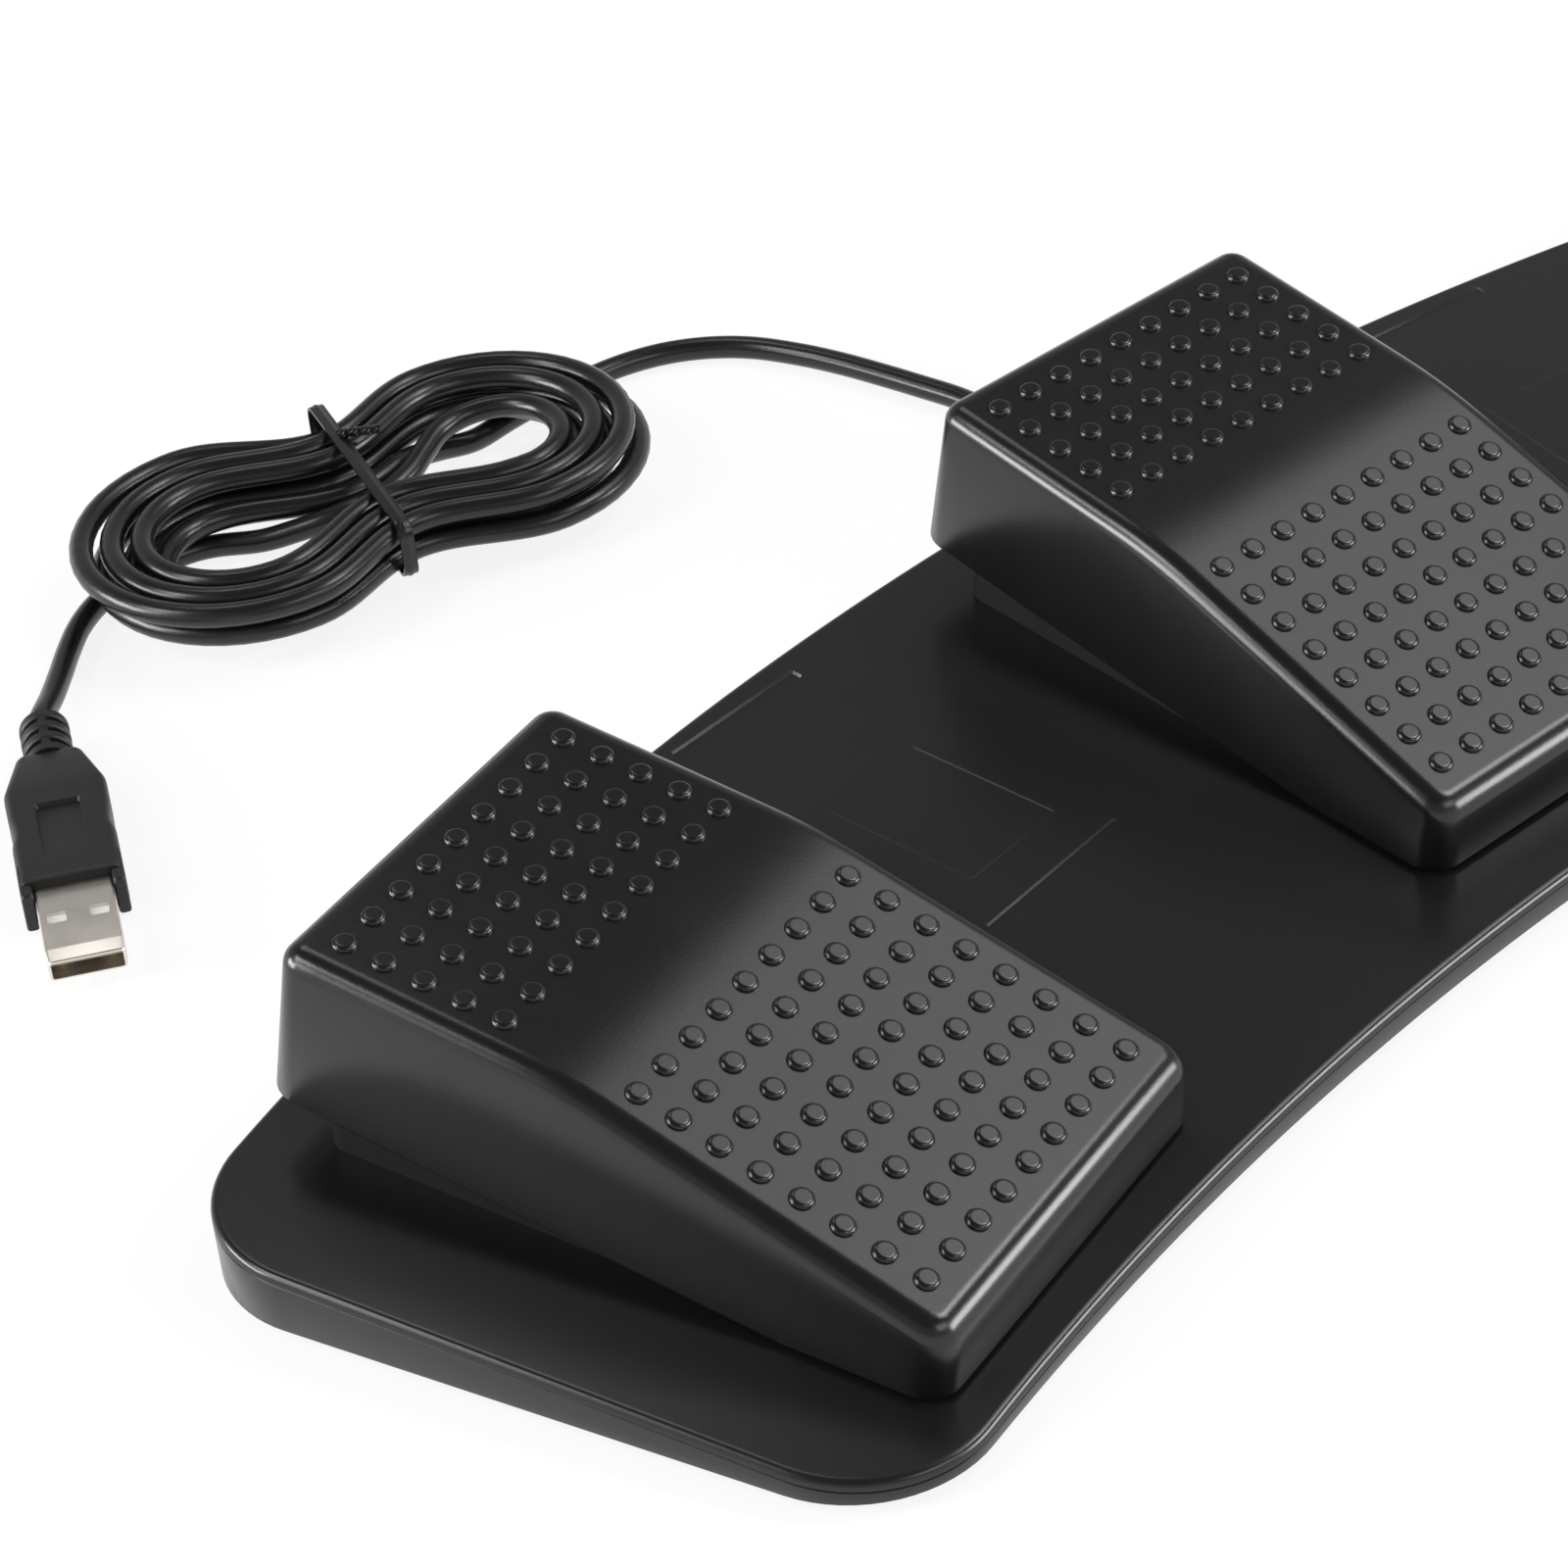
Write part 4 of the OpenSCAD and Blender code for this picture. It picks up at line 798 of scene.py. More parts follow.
@dataclass
class PedalCover:
    """One pedal cover: a drafted shell with a soft bend, filleted edges and studs.

    HEM is in inset and lift.
    """

    CORNER_STEPS = 8
    SIDE_LINES = 30
    FILLET_STEPS = 8
    HEM = ((0.35, 0.0), (0.1, 0.1), (0.0, 0.35))
    SHARP_DEG = 50.0

    size: PedalSize
    base: BaseSize
    studs: StudField

    def place(self, side: Side) -> Matrix:
        """The frame of a cover: origin on its hinge, level with its rear part.

        Args:
            side: The pedal.

        Returns:
            Its matrix, in millimetres.
        """
        size, s = self.size, side.value
        x = s * size.side_x
        y = self.base.depth / 2 - size.setback - abs(s) * size.side_y
        return (Matrix.Translation((x, y, self.base.top(y)))
                @ Matrix.Rotation(math.radians(self.base.tilt), 4, "X")
                @ Matrix.Rotation(math.radians(-s * size.yaw), 4, "Z")
                @ Matrix.Translation((0.0, size.hinge_y, size.hinge_z))
                @ Matrix.Rotation(math.radians(size.rest_tilt), 4, "X"))

    def front_top(self, v: float) -> float:
        """Height of the front part's plane at a distance from the hinge."""
        return self.size.height + (v - self.size.bend_v) * math.tan(math.radians(self.size.bend))

    def top(self, v: float) -> float:
        """Height of the cover's top, with its soft bend.

        Args:
            v: Distance from the hinge.

        Returns:
            The height over the hinge.
        """
        size = self.size
        t = v - size.bend_v + size.bend_soft
        if t <= 0:
            return self.front_top(v)
        if t >= 2 * size.bend_soft:
            return size.height
        return self.front_top(v) - math.tan(math.radians(size.bend)) * t * t / (4 * size.bend_soft)

    def low(self, v: float) -> float:
        """Height of the cover's lower edge."""
        return -self.size.skirt + max(0.0, self.size.knee_v - v) * math.tan(
            math.radians(self.size.rest_tilt))

    def draft(self, w: float) -> float:
        """How far the drafted wall leans in at a height."""
        return max(0.0, w + self.size.skirt) * math.tan(math.radians(self.size.draft))

    def half(self, inset: float) -> Plan:
        """Right half of the cover's plan.

        Args:
            inset: Distance from the lower edge's outline.

        Returns:
            Points from front to rear.
        """
        size = self.size
        x = size.width / 2 - size.corner_r
        r = max(size.least_corner, size.corner_r - inset)
        slack = max(0.0, inset - size.corner_r + size.least_corner)
        v0, v1 = size.front_v + size.corner_r, size.rear_v - size.corner_r
        lines = [v0 + (v1 - v0) * (i + 1) / (self.SIDE_LINES + 1) for i in range(self.SIDE_LINES)]
        return (arc((x - slack, v0 + slack), r, -90, 0, self.CORNER_STEPS)
                + [(x - slack + r, v) for v in lines]
                + arc((x - slack, v1 - slack), r, 0, 90, self.CORNER_STEPS))

    def build(self, side: Side) -> bpy.types.Object:
        """Makes one cover.

        Args:
            side: The pedal.

        Returns:
            The piece, which stands for the pedal's cover node.
        """
        size, mesh = self.size, Mesher()
        edge = self.half(0.0)

        def whole(points: list[tuple[float, float, float]]) -> list[int]:
            """A ring of a right half and its mirror image."""
            return mesh.ring(points + [(-x, v, w) for x, v, w in reversed(points)])

        def skin(inset: float, drop: float) -> list[int]:
            """A ring under the cover's top.

            Args:
                inset: Distance in from the drafted wall.
                drop: Distance down from the top.

            Returns:
                Its indices.
            """
            points = []
            for i, (_, v0) in enumerate(edge):
                x, v = self.half(inset + self.draft(self.top(v0) - drop))[i]
                points.append((x, v, self.top(v) - drop))
            return whole(points)

        def hem(inset: float, lift: float) -> list[int]:
            """A ring over the cover's lower edge."""
            return whole([(x, v, self.low(v) + lift) for x, v in self.half(inset)])

        steps = [math.radians(90 * k / self.FILLET_STEPS) for k in range(self.FILLET_STEPS + 1)]
        outer = [hem(inset, lift) for inset, lift in self.HEM]
        outer += [skin(size.fillet * (1 - math.cos(a)), size.fillet * (1 - math.sin(a)))
                  for a in steps]
        outer.append(skin(size.fillet + size.top_margin, 0.0))
        inner = [hem(size.wall, 0.0), skin(size.wall, size.wall)]
        mesh.skin(outer, ends=False)
        mesh.skin(inner, ends=False)
        mesh.band(inner[0], outer[0])
        for ring in (outer[-1], inner[-1]):
            count = len(ring) // 2
            mesh.band(ring[:count], list(reversed(ring[count:])), closed=False)
        front_v = (-size.hinge_y * math.cos(math.radians(size.rest_tilt))
                   + (size.first_stud_stand - size.hinge_z) * math.sin(math.radians(size.rest_tilt)))
        lean = Matrix.Rotation(math.radians(size.bend), 4, "X")
        for rows, v, w, turn in ((size.front_rows, front_v, self.front_top(front_v), lean),
                                 (size.rear_rows, size.bend_v + size.rear_stud_gap, size.height,
                                  Matrix.Identity(4))):
            middle = Matrix.Translation((0.0, (rows - 1) * size.pitch / 2, 0.0))
            mesh.merge(self.studs.patch(rows), Matrix.Translation((0.0, v, w)) @ turn @ middle)
        piece = mesh.make(f"cover_shell_{side.word}", "cover_grey", self.place(side), self.SHARP_DEG)
        return settle(piece, f"pedal_{side.word}", "cover_grey", f"pedal_cover_{side.word}")


@dataclass(frozen=True)
class CordSize:
    """Facts of the cord and its hank, in millimetres and degrees."""

    dia: float = 4.0
    exit: tuple[float, float, float] = (24.0, 91.6888, 8.0)
    droop_l: float = 10.0
    droop: float = 2.0
    centre: tuple[float, float] = (-67.8, 167.8)
    turn: float = -8.9
    half_w: float = 27.5
    run: float = 23.0
    step: float = 5.05
    layer: float = 4.6
    waist: float = 7.6
    lift: float = 4.5
    start: float = 0.075
    reverse: float = 3.125
    stop: float = 5.74
    end_l: float = 1.0
    climb: float = 0.11
    neck: tuple[float, float, float] = (-141.5, 157.8, 4.0)
    heading: float = 240.3
    last_l: float = 3.5


@dataclass
class Cord:
    """The cord from the base's rear edge, through its hank, to the plug's neck.

    LEAD and TAIL are chosen in the object's frame, and RISE and FALL in the hank's own plan.
    """

    LEAD = ((24, 112), (23.7, 121), (22.4, 129), (20.9, 137), (19.1, 145.3), (16.7, 153.3), (13.1, 161.6),
            (8.3, 167.8), (2.2, 172.4), (-4.8, 175.2), (-12.5, 176.5), (-20.5, 177), (-28.5, 176.9),
            (-36, 176.1))
    RISE = ((26, 11.9, 2.6), (20.5, 11.3, 3.8), (15, 10, 5.2))
    FALL = ((25.6, -14.3, 11.1), (29.6, -12.7, 11.1), (32.9, -9.5, 11.1), (34.8, -5.1, 11),
            (34.9, -0.2, 10.8), (33.1, 4.4, 10.5), (29.4, 7.8, 10.1), (24.6, 9.3, 9.6), (19.4, 8.4, 9.1),
            (14.5, 5.3, 8.5), (9.8, 2, 7.9), (4.6, -0.1, 7.4), (-1, -0.4, 6.9), (-6.5, 1.5, 5.6),
            (-11.5, 4.6, 3.9), (-16.5, 8, 2.5))
    TAIL = ((-89, 184.1, 2), (-96, 186.3, 2), (-104, 186.4, 2), (-111.5, 184.7, 2), (-118, 181.2, 2),
            (-123.8, 176.4, 2), (-129.2, 171.2, 2.2), (-134.4, 166.1, 2.8))
    TURN_STEPS = 96
    SMOOTH_STEPS = 8
    ROUND_STEPS = 5

    size: CordSize = CordSize()

    def half(self, turn: float) -> float:
        """Half width of the loop at a count of turns."""
        return self.size.half_w - self.size.step * abs(turn - self.size.reverse)

    def height(self, turn: float) -> float:
        """Height of the hank's strand.

        Args:
            turn: Count of turns from the hank's start.

        Returns:
            The height of its middle over the floor.
        """
        size = self.size
        t = min(1.0, max(0.0, (turn - size.reverse + size.climb) / (2 * size.climb)))
        return size.lift + size.dia / 2 + size.layer * t * t * (3 - 2 * t)

    def in_hank(self, x: float, y: float, z: float) -> Vector:
        """Takes a point from the hank's own plan to the object's frame.

        Args:
            x: Along the hank.
            y: Across the hank.
            z: Height over the floor.

        Returns:
            The point.
        """
        size = self.size
        c, s = math.cos(math.radians(size.turn)), math.sin(math.radians(size.turn))
        return Vector((size.centre[0] + c * x - s * y, size.centre[1] + s * x + c * y, z))

    def hank_point(self, turn: float) -> Vector:
        """A point of the hank: rear run, left end, front run and right end share a turn.

        Args:
            turn: Count of turns from the hank's start.

        Returns:
            The point.
        """
        size = self.size
        whole = turn - math.floor(turn)
        quarter = int(whole * 4)
        t = whole * 4 - quarter
        b = self.half(turn)
        along = size.run * (1 - 2 * t)
        drawn = b - size.waist * (1 + math.cos(math.pi * along / size.run)) / 2
        x, y = ((along, drawn),
                (-size.run - b * math.sin(math.pi * t), b * math.cos(math.pi * t)),
                (-along, -drawn),
                (size.run + b * math.sin(math.pi * t), -b * math.cos(math.pi * t)))[quarter]
        return self.in_hank(x, y, self.height(turn))

    def smooth(self, points: Sequence[Vector]) -> list[Vector]:
        """Runs a smooth curve through points.

        Args:
            points: The points.

        Returns:
            Close points of the curve.
        """
        ends = [2 * points[0] - points[1], *points, 2 * points[-1] - points[-2]]
        made = []
        for a, b, c, d in zip(ends, ends[1:], ends[2:], ends[3:]):
            for k in range(self.SMOOTH_STEPS):
                t = k / self.SMOOTH_STEPS
                made.append(0.5 * (2 * b + (c - a) * t + (2 * a - 5 * b + 4 * c - d) * t * t
                                   + (3 * b - a - 3 * c + d) * t ** 3))
        return [*made, points[-1]]

    def route(self) -> list[Vector]:
        """The whole route, in millimetres.

        Returns:
            Close points from the exit to the plug's neck.
        """
        size = self.size
        r = size.dia / 2
        count = round((size.stop - size.start) * self.TURN_STEPS)
        hank = [self.hank_point(size.start + (size.stop - size.start) * i / count)
                for i in range(count + 1)]
        into = (hank[1] - hank[0]).normalized()
        out = (hank[-1] - hank[-2]).normalized()
        ex, ey, ez = size.exit
        door = hank[0] - size.end_l * into
        lead = [Vector((ex, ey, ez)), Vector((ex, ey + size.dia, ez)),
                Vector((ex, ey + size.droop_l, ez - size.droop))]
        lead += [Vector((x, y, r)) for x, y in self.LEAD]
        lead += [*(self.in_hank(*p) for p in self.RISE), door]
        neck = Vector(size.neck)
        ahead = Vector((math.cos(math.radians(size.heading)), math.sin(math.radians(size.heading)), 0))
        gate = hank[-1] + size.end_l * out
        tail = [gate, *(self.in_hank(*p) for p in self.FALL), *(Vector(p) for p in self.TAIL),
                neck - size.last_l * ahead, neck]
        whole = self.smooth(lead) + hank + self.smooth(tail)
        return [Vector((p.x, p.y, max(p.z, r))) for p in whole]

    def build(self) -> tuple[bpy.types.Object, float]:
        """Makes the cord as one open curve.

        Returns:
            The piece and its length in metres.
        """
        points = self.route()
        length = sum((b - a).length for a, b in zip(points, points[1:])) * MM
        data = bpy.data.curves.new("usb_cord", "CURVE")
        data.dimensions = "3D"
        data.bevel_depth = self.size.dia / 2 * MM
        data.bevel_resolution = self.ROUND_STEPS
        data.use_fill_caps = True
        spline = data.splines.new("POLY")
        spline.points.add(len(points) - 1)
        for knot, p in zip(spline.points, points):
            knot.co = (*(p * MM), 1.0)
        spline.use_smooth = True
        data.materials.append(SHOP.get("cord_black"))
        piece = add_object("usb_cord", data)
        settle(piece, BASE_BODY, "cord_black", "usb_lead", "usb_hank", "usb_tail")
        return piece, length


@dataclass
class TwistTie:
    """The flat coated wire round the hank's waist, with its twisted ends.

    SECTION is across the ribbon and through it. LEAN is along the hank, to its rear and up.
    """

    SECTION = ((1.2, -0.25), (1.2, 0.25), (0.45, 0.28), (0.25, 0.45), (-0.25, 0.45), (-0.45, 0.28),
               (-1.2, 0.25), (-1.2, -0.25), (-0.45, -0.28), (-0.25, -0.4), (0.25, -0.4), (0.45, -0.28))
    LEAN = (0.86, -0.42, 0.06)
    CORNER_STEPS = 6
    TAIL_STEPS = 28
    SHARP_DEG = 60.0

    cord: Cord
    thick: float = 0.8
    gap: float = 0.35
    rise: float = 0.15
    slack: float = 2.1
    skew: float = -10.0
    root_share: float = 0.42
    root_lift: float = 0.3
    tail_l: float = 7.0
    tail_turns: float = 1.6
    tail_r: float = 0.5
    tail_lift: float = 0.5
    tail_scale: float = 0.55

    def _sweep(self, mesh: Mesher, path: Sequence[Vector], across: Sequence[Vector],
               closed: bool, scale: float = 1.0) -> None:
        """Sweeps the ribbon's section along a path.

        Args:
            mesh: The mesh that it goes into.
            path: Points of the path.
            across: The ribbon's broad direction at each point.
            closed: Whether the path runs round to its start.
            scale: Size of the section.
        """
        rings = []
        count = len(path)
        for i, p in enumerate(path):
            back = path[i - 1] if closed or i else path[0]
            front = path[(i + 1) % count] if closed or i + 1 < count else path[-1]
            ahead = (front - back).normalized()
            side = (across[i] - across[i].dot(ahead) * ahead).normalized()
            out = ahead.cross(side)
            rings.append(mesh.ring(p + scale * (u * side + v * out) for u, v in self.SECTION))
        mesh.skin(rings, ends=not closed)
        if closed:
            mesh.band(rings[-1], rings[0])

    def build(self) -> bpy.types.Object:
        """Makes the tie.

        Returns:
            The piece, which stands for the cord_tie node.
        """
        cord, size = self.cord, self.cord.size
        r = size.dia / 2
        rear, front = (cord.half(turn) - size.waist + r + self.slack + self.thick / 2
                       for turn in (size.reverse, size.reverse + 0.5))
        low = size.lift - self.gap + self.rise - self.thick / 2
        high = size.lift + 2 * r + size.layer + self.gap + self.thick / 2
        half_y, half_z = (rear + front) / 2, (high - low) / 2
        plan = rounded(half_y, half_z, r + self.thick / 2, self.CORNER_STEPS)
        turn = math.radians(size.turn + self.skew)
        along = Vector((math.cos(turn), math.sin(turn), 0))
        back = Vector((-math.sin(turn), math.cos(turn), 0))
        up = Vector((0, 0, 1))
        middle = Vector((*size.centre, (high + low) / 2)) + (rear - front) / 2 * back
        mesh = Mesher()
        path = [middle + y * back + z * up for y, z in plan]
        self._sweep(mesh, path, [along] * len(path), closed=True)
        root = middle + self.root_share * half_y * back + (half_z + self.root_lift) * up
        lean = (self.LEAN[0] * along + self.LEAN[1] * back + self.LEAN[2] * up).normalized()
        aside = lean.cross(up).normalized()
        upward = aside.cross(lean)
        for phase in (0.0, math.pi):
            tail, turns = [], []
            for k in range(self.TAIL_STEPS + 1):
                t = k / self.TAIL_STEPS
                a = phase + self.tail_turns * 2 * math.pi * t
                swing = aside * math.cos(a) + upward * math.sin(a)
                tail.append(root + lean * (self.tail_l * t) + self.tail_r * swing + self.tail_lift * up)
                turns.append(-aside * math.sin(a) + upward * math.cos(a))
            self._sweep(mesh, tail, turns, closed=False, scale=self.tail_scale)
        piece = mesh.make("twist_tie", "tie_black", sharp_deg=self.SHARP_DEG)
        return settle(piece, BASE_BODY, "tie_black", "cord_tie")


@dataclass(frozen=True)
class PlugSize:
    """Sizes of the plug, in millimetres."""

    width: float = 16.0
    thick: float = 8.0
    body_l: float = 36.0
    body_corner: float = 1.5
    cheek_back: float = 5.2
    cheek_in: float = 1.0
    cheek_corner: float = 0.5
    neck_l: float = 11.0
    neck_seat: float = 0.4
    neck_bevel: float = 0.3
    neck_end_r: float = 3.95
    bridge_r: float = 3.7
    panel_flare: float = 0.45
    panel_over: float = 0.6
    panel_corner: float = 0.5
    pocket_l: float = 6.0
    pocket_gap: float = 0.05
    pocket_corner: float = 0.5
    shell_w: float = 12.0
    shell_h: float = 4.5
    shell_l: float = 18.7
    shell_back: float = 5.9
    shell_wall: float = 0.35
    shell_corner: float = 0.6
    mouth_corner: float = 0.35
    mouth_past: float = 1.0
    window_corner: float = 0.35


@dataclass
class UsbPlug:
    """The moulded plug: ribbed neck, grip with cheeks, and metal shell.

    NECK_START is in distance and radius. RIB is in share of the pitch, distance past it and radius.
    GRIP and CHEEK are in distance, half width and half height. PANEL is the distance of its middle,
    its half width and its half length. LIP is in distance from the shell's end and insets of half
    width and half height.
    """

    NECK_START = ((0.0, 3.1), (0.0, 3.75), (0.25, 4.0))
    RIB = ((0.0, 0.25, 4.0), (0.6, -0.3, 4.0), (0.6, 0.0, 3.75), (0.6, 0.1, 3.0), (1.0, -0.1, 3.0),
           (1.0, 0.0, 3.75))
    RIBS = 3
    NECK_PITCHES = 3.5
    NECK_SPOKES = 40
    NECK_SHRINK = 0.995
    BRIDGE_SINE = 0.955
    NECK_SHARP_DEG = 32.0
    GRIP = ((0.0, 4.7, 3.0), (0.5, 5.1, 3.3), (1.2, 5.4, 3.5), (9.6, 7.75, 3.95), (10.6, 7.95, 4.0),
            (12.0, 8.0, 4.0), (17.5, 7.9, 4.0), (19.5, 7.65, 4.0), (21.5, 7.55, 4.0), (23.2, 7.65, 4.0),
            (24.6, 7.95, 4.0), (25.6, 8.0, 4.0), (34.6, 8.0, 4.0), (35.7, 8.0, 3.94), (36.0, 8.0, 3.75))
    CHEEK = ((0.0, 0.9, 3.6), (1.5, 0.97, 3.65), (7.3, 0.97, 3.35), (7.8, 0.9, 3.2), (8.0, 0.7, 3.0))
    PANEL = (22.4, 3.3, 6.6)
    PANEL_DEPTHS = (0.75, 0.12)
    GRIP_SHARP_DEG = 30.0
    MOST_CORNER = 0.9
    WINDOW_AT = 55.2
    WINDOW_X = 3.25
    WINDOW_HALF = (1.45, 1.25)
    WINDOW_STEPS = 3
    LIP_L = 2.5
    LIP = ((LIP_L + 0.2, 0.0, 0.0), (LIP_L, 0.02, 0.03), (0.2, 0.2, 0.5), (0.0, 0.3, 0.62))
    MOUTH_TAPER = (0.35, 0.7)
    LOFT_SHARP_DEG = 12.0
    SHELL_SHARP_DEG = 9.0

    cord: CordSize
    size: PlugSize = PlugSize()

    def __post_init__(self) -> None:
        """Finds the plug's frame at the cord's end."""
        turn = math.radians(self.cord.heading)
        ahead = Vector((math.cos(turn), math.sin(turn), 0))
        left = Vector((-math.sin(turn), math.cos(turn), 0))
        self.place = Matrix.Translation(self.cord.neck) @ Matrix((
            (left.x, 0, ahead.x, 0), (left.y, 0, ahead.y, 0), (0, 1, 0, 0), (0, 0, 0, 1)))

    def _block(self, name: str, finish: str, stations: Sequence[tuple[float, float, float]], r: float,
               start: float, shift: float = 0.0, sharp_deg: float = SHARP_DEG) -> bpy.types.Object:
        """Lofts rounded rectangles along the plug.

        Args:
            name: The piece's name.
            finish: Its finish.
            stations: Distance along the plug, half width and half height of each section.
            r: Corner radius.
            start: Where the distances start from, from the neck's end.
            shift: Sideways offset.
            sharp_deg: Edges sharper than this stay crisp.

        Returns:
            The piece.
        """
        mesh, most = Mesher(), self.MOST_CORNER
        rings = [mesh.ring((x + shift, y, start + s) for x, y in rounded(w, h, min(r, most * h, most * w)))
                 for s, w, h in stations]
        mesh.skin(rings)
        return mesh.make(name, finish, self.place, sharp_deg)

    def neck(self) -> bpy.types.Object:
        """Makes the ribbed neck, with a bridge along its top and bottom between the ribs.

        Returns:
            The piece, which stands for the plug_neck node.
        """
        size, mesh = self.size, Mesher()
        pitch = size.neck_l / self.NECK_PITCHES
        profile = list(self.NECK_START)
        for k in range(self.RIBS):
            profile += [(k * pitch + share * pitch + past, r) for share, past, r in self.RIB]
        profile += [(self.RIBS * pitch + size.neck_bevel, size.neck_end_r),
                    (size.neck_l + size.neck_seat, size.neck_end_r)]
        rings = []
        for s, r in profile:
            ring = []
            for k in range(self.NECK_SPOKES):
                a = 2 * math.pi * k / self.NECK_SPOKES
                least = size.bridge_r if abs(math.sin(a)) > self.BRIDGE_SINE else 0.0
                reach = max(r, least) * self.NECK_SHRINK
                ring.append((reach * math.cos(a), reach * math.sin(a), s))
            rings.append(mesh.ring(ring))
        mesh.skin(rings)
        piece = mesh.make("plug_ribbed_neck", "plug_black", self.place, self.NECK_SHARP_DEG)
        return settle(piece, BASE_BODY, "plug_black", "plug_neck")

    def grip(self) -> bpy.types.Object:
        """Makes the grip: a waisted body with a pressed-in panel.

        Returns:
            The piece, which stands for the plug_grip node.
        """
        size = self.size
        body = self._block("plug_moulded_grip", "plug_black", self.GRIP, size.body_corner, size.neck_l)
        hole = (size.shell_w / 2 + size.pocket_gap, size.shell_h / 2 + size.pocket_gap)
        pocket = self._block("cut_pocket", "plug_black", ((0.0, *hole), (size.body_l, *hole)),
                             size.pocket_corner, size.neck_l + size.body_l - size.pocket_l)
        panels = []
        middle, half_x, half_z = self.PANEL
        deep, shallow = self.PANEL_DEPTHS
        for face in (1, -1):
            mesh = Mesher()
            rings = []
            for sunk, grow in ((False, size.panel_flare), (True, 0.0)):
                ring = []
                for x, z in rounded(half_x + grow, half_z + grow, size.panel_corner):
                    share = (z + half_z) / (2 * half_z)
                    depth = deep + (shallow - deep) * share if sunk else -size.panel_over
                    ring.append((x, face * (size.thick / 2 - depth), size.neck_l + middle + z))
                rings.append(mesh.ring(ring))
            mesh.skin(rings)
            panels.append(mesh.make(f"cut_panel_{face}", "plug_black", self.place))
        carve(body, [pocket, *panels], self.GRIP_SHARP_DEG)
        return settle(body, BASE_BODY, "plug_black", "plug_grip")

    def cheeks(self) -> list[bpy.types.Object]:
        """Makes the two cheeks that reach past the grip, beside the shell.

        Returns:
            The pieces.
        """
        size, made = self.size, []
        for word, s in (("right", -1), ("left", 1)):
            cheek = self._block(f"plug_cheek_{word}", "plug_black", self.CHEEK, size.cheek_corner,
                                size.neck_l + size.body_l - size.cheek_back,
                                s * (size.width / 2 - size.cheek_in))
            made.append(settle(cheek, BASE_BODY, "plug_black"))
        return made

    def shell(self) -> bpy.types.Object:
        """Makes the metal shell with its windows and its turned-in front lip.

        Returns:
            The piece, which stands for the plug_shell node.
        """
        size, t = self.size, self.size.shell_wall
        w, h = size.shell_w / 2, size.shell_h / 2
        start = size.neck_l + size.body_l - size.shell_back
        end = size.shell_l + size.shell_back
        outside = [(0.0, w, h), *((end - s, w - dw, h - dh) for s, dw, dh in self.LIP)]
        body = self._block("plug_metal_shell", "shell_nickel", outside, size.shell_corner, start,
                           sharp_deg=self.LOFT_SHARP_DEG)
        dw, dh = self.MOUTH_TAPER
        inside = [(t, w - t, h - t), (end - self.LIP_L, w - t, h - t),
                  (end + size.mouth_past, w - t - dw, h - t - dh)]
        cutters = [self._block("cut_mouth", "shell_nickel", inside, size.mouth_corner, start)]
        window = rounded(*self.WINDOW_HALF, size.window_corner, self.WINDOW_STEPS)
        for x in (-self.WINDOW_X, self.WINDOW_X):
            mesh = Mesher()
            mesh.skin([mesh.ring((x + a, y, self.WINDOW_AT + b) for a, b in window)
                       for y in (-2 * h, 2 * h)])
            cutters.append(mesh.make(f"cut_window_{x:.0f}", "shell_nickel", self.place))
        carve(body, cutters, self.SHELL_SHARP_DEG)
        return settle(body, BASE_BODY, "shell_nickel", "plug_shell")

    def build(self) -> list[bpy.types.Object]:
        """Makes the plug.

        Returns:
            Its pieces.
        """
        return [self.neck(), self.grip(), *self.cheeks(), self.shell()]


@dataclass(frozen=True)
class Lamp:
    """One soft light.

    Args:
        name: Its name.
        place: Where it stands, in metres.
        aim: What it looks at, in metres.
        size: Its width and height, in metres.
        power: Its power in watts.
    """

    name: str
    place: tuple[float, float, float]
    aim: tuple[float, float, float]
    size: tuple[float, float]
    power: float


